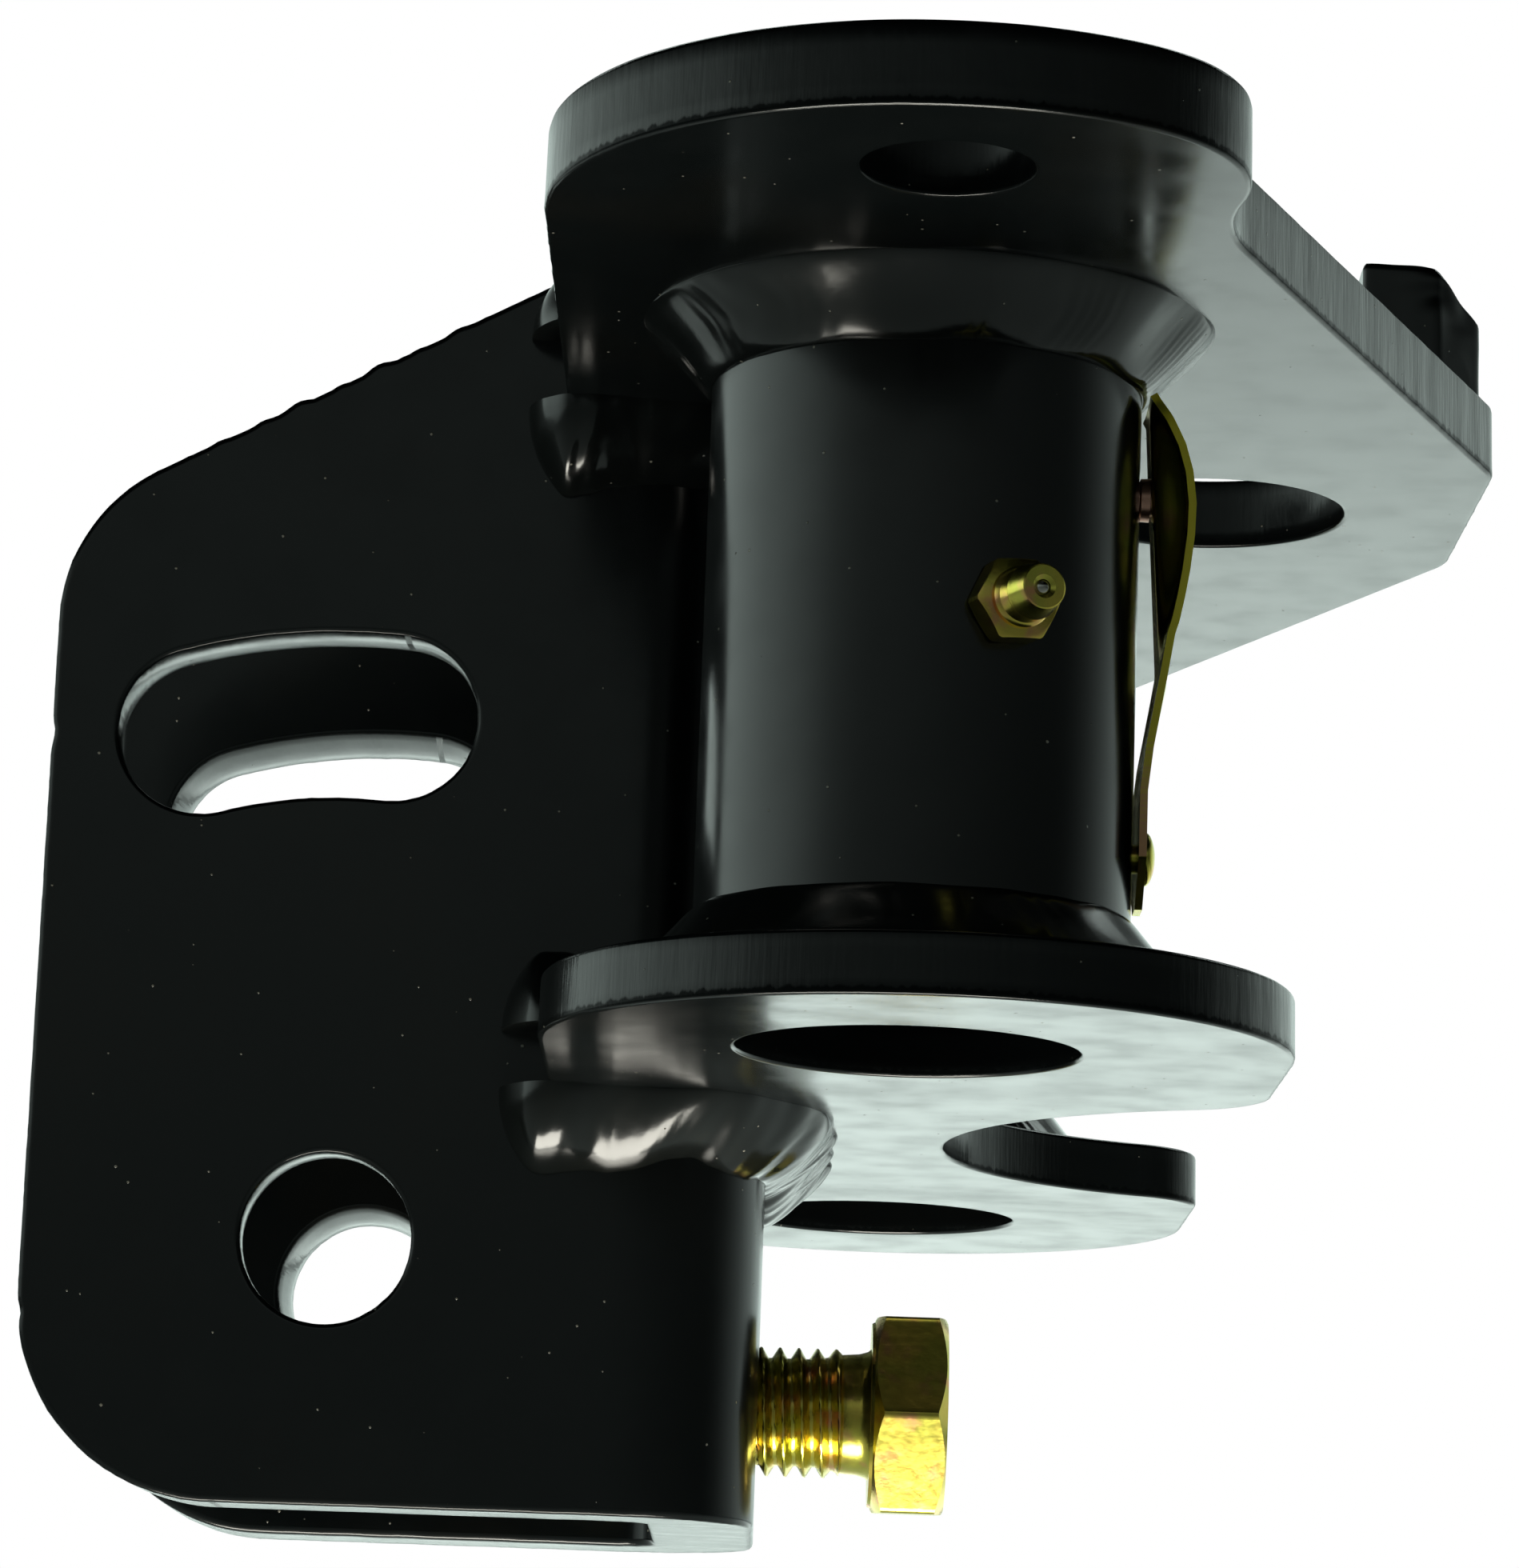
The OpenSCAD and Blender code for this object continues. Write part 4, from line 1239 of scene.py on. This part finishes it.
@dataclass
class GreaseFitting:
    """A grease fitting: hexagon, neck, nose, check ball and the coil spring behind it."""

    side: Side
    socket: SpringBarSocket
    turn_deg: float = 21.5
    nut_deg: float = 4.5
    af: float = 8.6
    hex_h: float = 3.2
    height: float = 9.4
    wire_r: float = 0.2
    coil_r: float = 0.7
    coil_l: float = 4.5
    coils: float = 5.0

    def __post_init__(self) -> None:
        """Takes the ball from its CAD node, and works out the fitting's direction."""
        low, high = box_of(f"{self.side.word}_fitting_ball")
        self.ball = (low + high) / 2
        self.ball_r = float(high[2] - low[2]) / 2
        ahead, aside = unit(self.turn_deg)
        self.way = np.array([aside, self.side.value * ahead, 0.0])

    def to_place(self, points: Points) -> Points:
        """Turns Z to the fitting's direction and sets 0 at the tube's surface."""
        base = np.array([self.socket.x, self.socket.y, self.ball[2]]) + self.way * self.socket.r
        up = np.array([0.0, 0.0, 1.0])
        across = np.cross(up, self.way)
        return base + points[:, :1] * across + points[:, 1:2] * up + points[:, 2:] * self.way

    def build(self) -> None:
        """Builds the body, the ball and the spring."""
        word = self.side.word
        nut = hexagon(self.af, self.hex_h, 0.98, 180).moved(lambda p: about_z(p + (0, 0, 0.02), self.nut_deg))
        nose = revolve(np.array([
            (3.0, -3.0), (3.0, 0.0), (3.35, self.hex_h - 0.2), (3.35, self.hex_h + 0.7), (3.15, self.hex_h + 1.0),
            (2.95, self.hex_h + 1.15), (2.6, 5.3), (2.52, 5.6), (2.6, 5.85), (2.95, 6.2), (3.05, 6.5),
            (2.95, 6.9), (2.55, self.height - 0.35), (2.45, self.height - 0.1), (2.3, self.height),
            (1.3, self.height), (1.12, self.height - 0.12), (0.82, self.height - 0.3),
            (1.0, self.height - 0.75), (1.0, 0.0), (1.0, -3.0),
        ]), 72, closed=True)
        body = as_object(f"{word}_fitting_steel", nut.plus(nose).moved(self.to_place), 32.0)
        place_piece(body, YELLOW_ZINC, "yellow_zinc", HEAD, f"{word}_fitting_body")
        angles = np.linspace(-math.pi / 2, math.pi / 2, 18)[1:-1]
        ball = revolve(np.column_stack([np.cos(angles), np.sin(angles)]) * self.ball_r, 32)
        piece = as_object(f"{word}_check_ball", ball.moved(lambda p: p + self.ball), 60.0)
        place_piece(piece, BARE_STEEL, "bare_steel", f"{word}_check", f"{word}_fitting_ball")
        self.build_spring()

    def build_spring(self) -> None:
        """Builds the coil spring behind the ball, wound by geometry nodes."""
        t, (turns, coil, height, wire) = winding_tree("coil_spring", ("Turns", "Coil radius", "Height", "Wire radius"))
        line = t.add("GeometryNodeCurveSpiral", Resolution=20, Rotations=turns, Start_Radius=coil, End_Radius=coil,
                     Height=height)
        ring = t.add("GeometryNodeCurvePrimitiveCircle", Resolution=10, Radius=wire)
        tube = t.add("GeometryNodeCurveToMesh", Curve=line.outputs[0], Profile_Curve=ring.outputs[0], Fill_Caps=True)
        lengths = [size * MM for size in (self.coil_r, self.coil_l - 2 * self.wire_r, self.wire_r)]
        shell = wound(t, tube, BARE_STEEL, [self.coils, *lengths])
        top = float((self.ball - (self.socket.x, self.socket.y, self.ball[2])) @ self.way) - self.socket.r
        base = top - self.ball_r - self.coil_l + self.wire_r
        shell = shell.moved(lambda p: self.to_place(p + (0, 0, base)))
        piece = as_object(f"{self.side.word}_check_spring", shell, 60.0, merge=1e-5)
        place_piece(piece, BARE_STEEL, "bare_steel", None, f"{self.side.word}_fitting_spring")
        ends = self.to_place(np.array([[0.0, 0.0, base], [0.0, 0.0, base + self.coil_l]])) * MM
        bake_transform(piece)


# ---- Spring clips ----


@dataclass
class SpringClip:
    """The spring strip on a socket, its rivet and its lock pin."""

    side: Side
    socket: SpringBarSocket
    thickness: float = 0.85
    half_w: float = 7.5
    flex_z: float = 47.0
    grip_z: float = 60.0
    flat_half: float = 2.8
    pin_r: float = 2.3

    def __post_init__(self) -> None:
        """Takes the places of the strip, pin and rivet from their CAD nodes."""
        word = self.side.word
        low, high = box_of(f"{word}_clip_foot")
        self.x, self.bottom = low[0], low[2]
        self.top = box_of(f"{word}_clip_leaf")[1][2]
        low, high = box_of(f"{word}_lock_pin")
        self.pin_z, self.pin_x = (low[2] + high[2]) / 2, low[0]
        low, high = box_of(f"{word}_clip_rivet")
        self.rivet_z = (low[2] + high[2]) / 2

    def side_offset(self, z: Points) -> Points:
        """Distance of the strip's side edges from the line of its foot."""
        heights = [self.bottom, self.flex_z, 52, self.grip_z, 64.8, 66.3, 69, 72, 76, 79.5, 83, 86, 89, self.top]
        out = [0.0, 0.0, 0.55, 1.9, 2.65, 3.1, 3.65, 4.15, 4.6, 4.7, 4.3, 3.45, 2.0, 0.3]
        return np.interp(z, heights, out)

    def middle_offset(self, z: Points) -> Points:
        """Distance of the strip's middle from the line of its foot."""
        heights = [self.bottom, self.flex_z, 52, self.grip_z - 0.7, self.grip_z + 0.7, self.pin_z, self.top]
        return np.interp(z, heights, [0.0, 0.0, 0.6, 2.05, 2.1, 0.9, 0.4])

    def half_width(self, z: Points) -> Points:
        """Half of the strip's width: its foot narrows to a blunt point."""
        toe = 2.0 + (self.half_w - 2.0) * np.clip((z - self.bottom) / 5.0, 0.0, 1.0)
        crown = self.half_w - 1.6 * smooth(z, self.top - 5.0, self.top) ** 2
        return np.minimum(toe, crown)

    def strip(self) -> Shell:
        """The strip from its foot to its top, with flared finger holds."""
        z = np.linspace(self.bottom, self.top, 200)
        t = np.linspace(-1.0, 1.0, 41)
        wide = self.half_width(z)[:, None] * t[None, :]
        flare = smooth(np.abs(wide), self.flat_half, self.half_w - 1.3)
        middle, edge = self.middle_offset(z)[:, None], self.side_offset(z)[:, None]
        depth = self.x + middle + (edge - middle) * flare
        tall = np.repeat(z[:, None], len(t), 1)
        face = np.stack([depth, wide, tall], 2)
        up = np.gradient(face, axis=0)
        over = np.gradient(face, axis=1)
        normal = np.cross(over, up)
        normal /= np.linalg.norm(normal, axis=2)[:, :, None]
        back = face + normal * self.thickness
        rows, columns = face.shape[:2]
        count = rows * columns
        faces = grid_faces(rows, columns)
        faces += [tuple(i + count for i in reversed(f)) for f in faces]
        rim = [c for c in range(columns)] + [r * columns + columns - 1 for r in range(1, rows)]
        rim += [(rows - 1) * columns + c for c in range(columns - 2, -1, -1)]
        rim += [r * columns for r in range(rows - 2, 0, -1)]
        faces += [(a, b, b + count, a + count) for a, b in zip(rim, rim[1:] + rim[:1])]
        points = np.vstack([face.reshape(-1, 3), back.reshape(-1, 3)])
        return Shell(points + (0, self.socket.y, 0), faces)

    def build(self) -> None:
        """Builds the strip, its rivet and its pin."""
        word = self.side.word
        strip = as_object(f"{word}_spring_strip", self.strip(), 50.0)
        place_piece(strip, STRIP_ZINC, "zinc_strip", None, f"{word}_clip_foot", f"{word}_clip_leaf")
        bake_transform(strip)
        self.build_rivet()
        self.build_pin()

    def build_rivet(self) -> None:
        """Builds the domed rivet that holds the strip's foot."""
        word = self.side.word
        face = self.x + self.thickness
        turns = np.radians(np.linspace(0.0, 84.0, 10))
        dome = [(3.0 * math.cos(a), 0.25 + 1.15 * math.sin(a)) for a in turns]
        start = self.socket.bore + self.socket.x + 0.5 - face
        profile = np.array([(1.6, start), (1.6, 0.0), (2.9, 0.0), *dome])
        shell = revolve(profile, 48).moved(along_x).moved(lambda p: p + (face, self.socket.y, self.rivet_z))
        piece = as_object(f"{word}_rivet_steel", shell, 40.0)
        place_piece(piece, YELLOW_ZINC, "yellow_zinc", HEAD, f"{word}_clip_rivet")

    def build_pin(self) -> None:
        """Builds the stepped lock pin, with a groove on each side of the strip."""
        word, r = self.side.word, self.pin_r
        face = float(self.x + self.middle_offset(np.array([self.pin_z]))[0]) - self.pin_x
        out = face + self.thickness
        profile = np.array([
            (r - 1.1, 0.0), (r - 0.9, 0.1), (r - 0.1, 1.0), (r, 1.2), (r, face - 1.9), (r - 0.35, face - 1.7),
            (r - 0.35, face - 1.3), (r + 0.1, face - 1.1), (r + 0.15, face - 0.1), (r - 0.4, face),
            (r - 0.4, out), (r + 0.5, out + 0.05), (r + 0.5, out + 0.6), (r + 0.1, out + 0.95), (0.6, out + 1.0),
        ])
        shell = revolve(profile, 48).moved(along_x).moved(lambda p: p + (self.pin_x, self.socket.y, self.pin_z))
        piece = as_object(f"{word}_pin_copper", shell, 40.0)
        place_piece(piece, COPPER, "copper_pin", f"{word}_clip", f"{word}_lock_pin")


# ---- Stop lug ----


@dataclass
class StopLug:
    """The lug on the ball plate, with its dents, and its weld."""

    voxel: float = 0.4
    dent_r: float = 5.0

    def copied(self, name: str, node: str, radius: float) -> bpy.types.Object:
        """A finely meshed copy of a CAD node with rounded edges."""
        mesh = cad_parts[node].data.copy()
        work = bmesh.new()
        work.from_mesh(mesh)
        bmesh.ops.remove_doubles(work, verts=work.verts, dist=1e-6)
        bmesh.ops.dissolve_limit(work, angle_limit=math.radians(2.0), verts=work.verts, edges=work.edges)
        work.to_mesh(mesh)
        work.free()
        piece = linked(name, mesh)
        bevel = piece.modifiers.new("round", "BEVEL")
        bevel.width, bevel.segments, bevel.limit_method = radius * MM, 3, "ANGLE"
        remesh = piece.modifiers.new("fine", "REMESH")
        remesh.mode, remesh.voxel_size = "VOXEL", self.voxel * MM
        return applied(piece)

    def dented(self, piece: bpy.types.Object, size: float, seed: int) -> None:
        """Moves a piece's points in and out by smooth noise, deeper near its rear top corner."""
        points = np.array([v.co for v in piece.data.vertices]) / MM
        low, high = points.min(0), points.max(0)
        rng = np.random.default_rng(seed)
        moved = np.zeros(len(points))
        for _ in range(18):
            way = rng.normal(size=3)
            wave = rng.uniform(3.5, 9.0)
            phase = rng.uniform(0.0, math.tau)
            moved += np.sin(points @ (way / np.linalg.norm(way)) * math.tau / wave + phase) / 4.0
        corner = np.array([high[0], low[1], high[2]])
        near = np.exp(-((np.linalg.norm(points - corner, axis=1) / self.dent_r) ** 2))
        normals = np.array([v.normal for v in piece.data.vertices])
        shift = -size * (0.03 + near) * np.clip(moved + 0.6, 0.0, None)
        points += normals * shift[:, None]
        points = np.clip(points, low, high)
        piece.data.vertices.foreach_set("co", (points * MM).astype(np.float32).ravel())
        piece.data.shade_smooth()

    def build(self) -> None:
        """Builds the lug and its weld."""
        lug = self.copied("rear_stop", "stop_lug", 0.6)
        self.dented(lug, 1.1, 5)
        place_piece(lug, BLACK, "black_paint", HEAD, "stop_lug")
        weld = self.copied("rear_stop_fillet", "stop_lug_weld", 0.5)
        self.dented(weld, 0.35, 6)
        place_piece(weld, WELD_BLACK, "painted_weld", HEAD, "stop_lug_weld")


# ---- Studio ----


@dataclass(frozen=True)
class Softbox:
    """A rectangular light.

    Attributes:
        name: Its name.
        at: Its middle, in metres.
        aim: The point that it faces.
        size: Its two sides, in metres.
        radiance: How bright its face is.
        colour: Its colour.
        spread: Angle that it shines through, in degrees.
    """

    name: str
    at: tuple[float, float, float]
    aim: tuple[float, float, float]
    size: tuple[float, float]
    radiance: float
    colour: Colour = (1.0, 1.0, 1.0)
    spread: float = 180.0

    def build(self) -> None:
        """Builds the light."""
        light = bpy.data.lights.new(self.name, "AREA")
        light.shape, light.size, light.size_y = "RECTANGLE", *self.size
        light.energy = self.radiance * math.pi * self.size[0] * self.size[1]
        light.color = self.colour
        light.spread = math.radians(self.spread)
        lamp = linked(self.name, light)
        lamp.location = self.at
        lamp.rotation_euler = (Vector(self.aim) - Vector(self.at)).to_track_quat("-Z", "Y").to_euler()
        lamp.visible_camera = False


SOFTBOXES = (
    Softbox("overhead", (0.1, 3.2, 1.6), (0.1, 3.2, 0.0), (5.0, 3.6), 2.45, (0.86, 1.0, 0.95), 120.0),
    Softbox("below", (0.02, -0.08, -0.40), (0.02, -0.06, 0.0), (0.34, 0.15), 16.0, (1.0, 0.97, 0.86)),
)


@dataclass
class Studio:
    """Camera, white surround, floor and lights."""

    at: tuple[float, float, float] = (0.0519, -0.6614, -0.0683)
    yaw: float = -0.29
    pitch: float = 11.25
    roll: float = 2.04
    lens: float = 123.1
    sensor: float = 36.0
    floor_z: float = -0.42
    floor_half: float = 12.0
    band: float = 1.05
    front: float = 0.15
    glow: Colour = (0.84, 1.0, 0.94)

    def build_camera(self) -> None:
        """Builds the camera, just below the object and looking up at it."""
        data = bpy.data.cameras.new("camera")
        data.lens, data.sensor_width = self.lens, self.sensor
        data.clip_start, data.clip_end = 0.01, 50.0
        camera = linked("camera", data)
        y, p, r = (math.radians(a) for a in (self.yaw, self.pitch, self.roll))
        ahead = Vector((math.sin(y) * math.cos(p), math.cos(y) * math.cos(p), math.sin(p)))
        right = Vector((math.cos(y), -math.sin(y), 0.0))
        up = right.cross(ahead)
        turned_right = right * math.cos(r) + up * math.sin(r)
        turned_up = up * math.cos(r) - right * math.sin(r)
        turn = Matrix((turned_right, turned_up, -ahead)).transposed()
        camera.matrix_world = Matrix.Translation(self.at) @ turn.to_4x4()
        bpy.context.scene.camera = camera

    def build_surround(self) -> None:
        """Builds the world: white to look at, and darker in front of the object for its reflections."""
        world = bpy.data.worlds.new("surround")
        bpy.context.scene.world = world
        world.use_nodes = True
        t = Tree(world.node_tree)
        way = t.add("ShaderNodeTexCoord").outputs["Generated"]
        parts = t.add("ShaderNodeSeparateXYZ", Vector=way)
        x, y, z = (t.field(parts.outputs[i]) for i in range(3))
        back = t.ramp(y - x * 0.5, -0.7, 0.95)
        flat = t.ramp(z.apply("ABSOLUTE"), 0.52, 0.18)
        front = (x * -0.10 + t.ramp(x, -0.70, -0.98) * 0.16 + self.front) * t.ramp(z, 0.55, 0.32)
        front = front * (t.ramp(z, 0.02, 0.30) * 0.70 + 0.60)
        level = back * flat * self.band + front
        seen = world.node_tree.nodes["Background"]
        seen.inputs["Color"].default_value = (1.0, 1.0, 1.0, 1.0)
        glow = t.add("ShaderNodeBackground", Strength=level)
        glow.inputs["Color"].default_value = (*self.glow, 1.0)
        eye = t.add("ShaderNodeLightPath").outputs["Is Camera Ray"]
        mix = world.node_tree.nodes.new("ShaderNodeMixShader")
        links = world.node_tree.links
        links.new(eye, mix.inputs[0])
        links.new(glow.outputs[0], mix.inputs[1])
        links.new(seen.outputs[0], mix.inputs[2])
        links.new(mix.outputs[0], world.node_tree.nodes["World Output"].inputs["Surface"])

    def build_floor(self) -> None:
        """Builds a wide pale floor well below the object, which its mount holds up."""
        mesh = bpy.data.meshes.new("floor")
        half = self.floor_half
        corners = [(x * half, y * half, self.floor_z) for x, y in ((-1, -1), (1, -1), (1, 1), (-1, 1))]
        mesh.from_pydata(corners, [], [(0, 1, 2, 3)])
        floor = linked("floor", mesh)
        dress = Dress("pale_floor")
        cloud = dress.nodes.ramp(dress.nodes.noise(dress.place, 3.0), 0.3, 0.7)
        dress.set(Base_Color=dress.nodes.mix(cloud, (0.88, 0.88, 0.87), (0.92, 0.92, 0.91)), Roughness=0.7)
        mesh.materials.append(dress.material)

    def build(self) -> None:
        """Builds everything round the object."""
        self.build_camera()
        self.build_surround()
        self.build_floor()
        for softbox in SOFTBOXES:
            softbox.build()
        view = bpy.context.scene.view_settings
        view.view_transform, view.look = "Standard", "None"


def build_all() -> None:
    """Builds the studio and every piece of the hitch head."""
    Studio().build()
    bracket = ChannelBracket()
    bracket.build()
    upper, lower = BallPlate(), SocketPlate()
    upper.build(bracket)
    lower.build(bracket)
    for side in Side:
        socket = SpringBarSocket(side)
        clip = SpringClip(side, socket)
        socket.build_tube(clip.pin_z)
        socket.build_weld(upper=True)
        socket.build_weld(upper=False)
        clip.build()
        GreaseFitting(side, socket).build()
    seams = [
        ("ball_plate_under_bead", "ball_plate_lower_weld", upper.bottom, -1),
        ("ball_plate_top_bead", "ball_plate_upper_weld", upper.bottom + upper.thickness, 1),
        ("socket_plate_under_bead", "socket_plate_lower_weld", lower.bottom, -1),
        ("socket_plate_top_bead", "socket_plate_upper_weld", lower.bottom + lower.thickness, 1),
    ]
    for number, (name, node, height, up) in enumerate(seams):
        SeamWeld(name, node, height, up, bracket, seed=80 + number).build()
    AdjustingBolt().build()
    StopLug().build()


def main() -> None:
    """Builds the scene."""
    logging.basicConfig(level=logging.INFO, format="%(message)s")
    build_all()


if __name__ == "__main__":
    main()
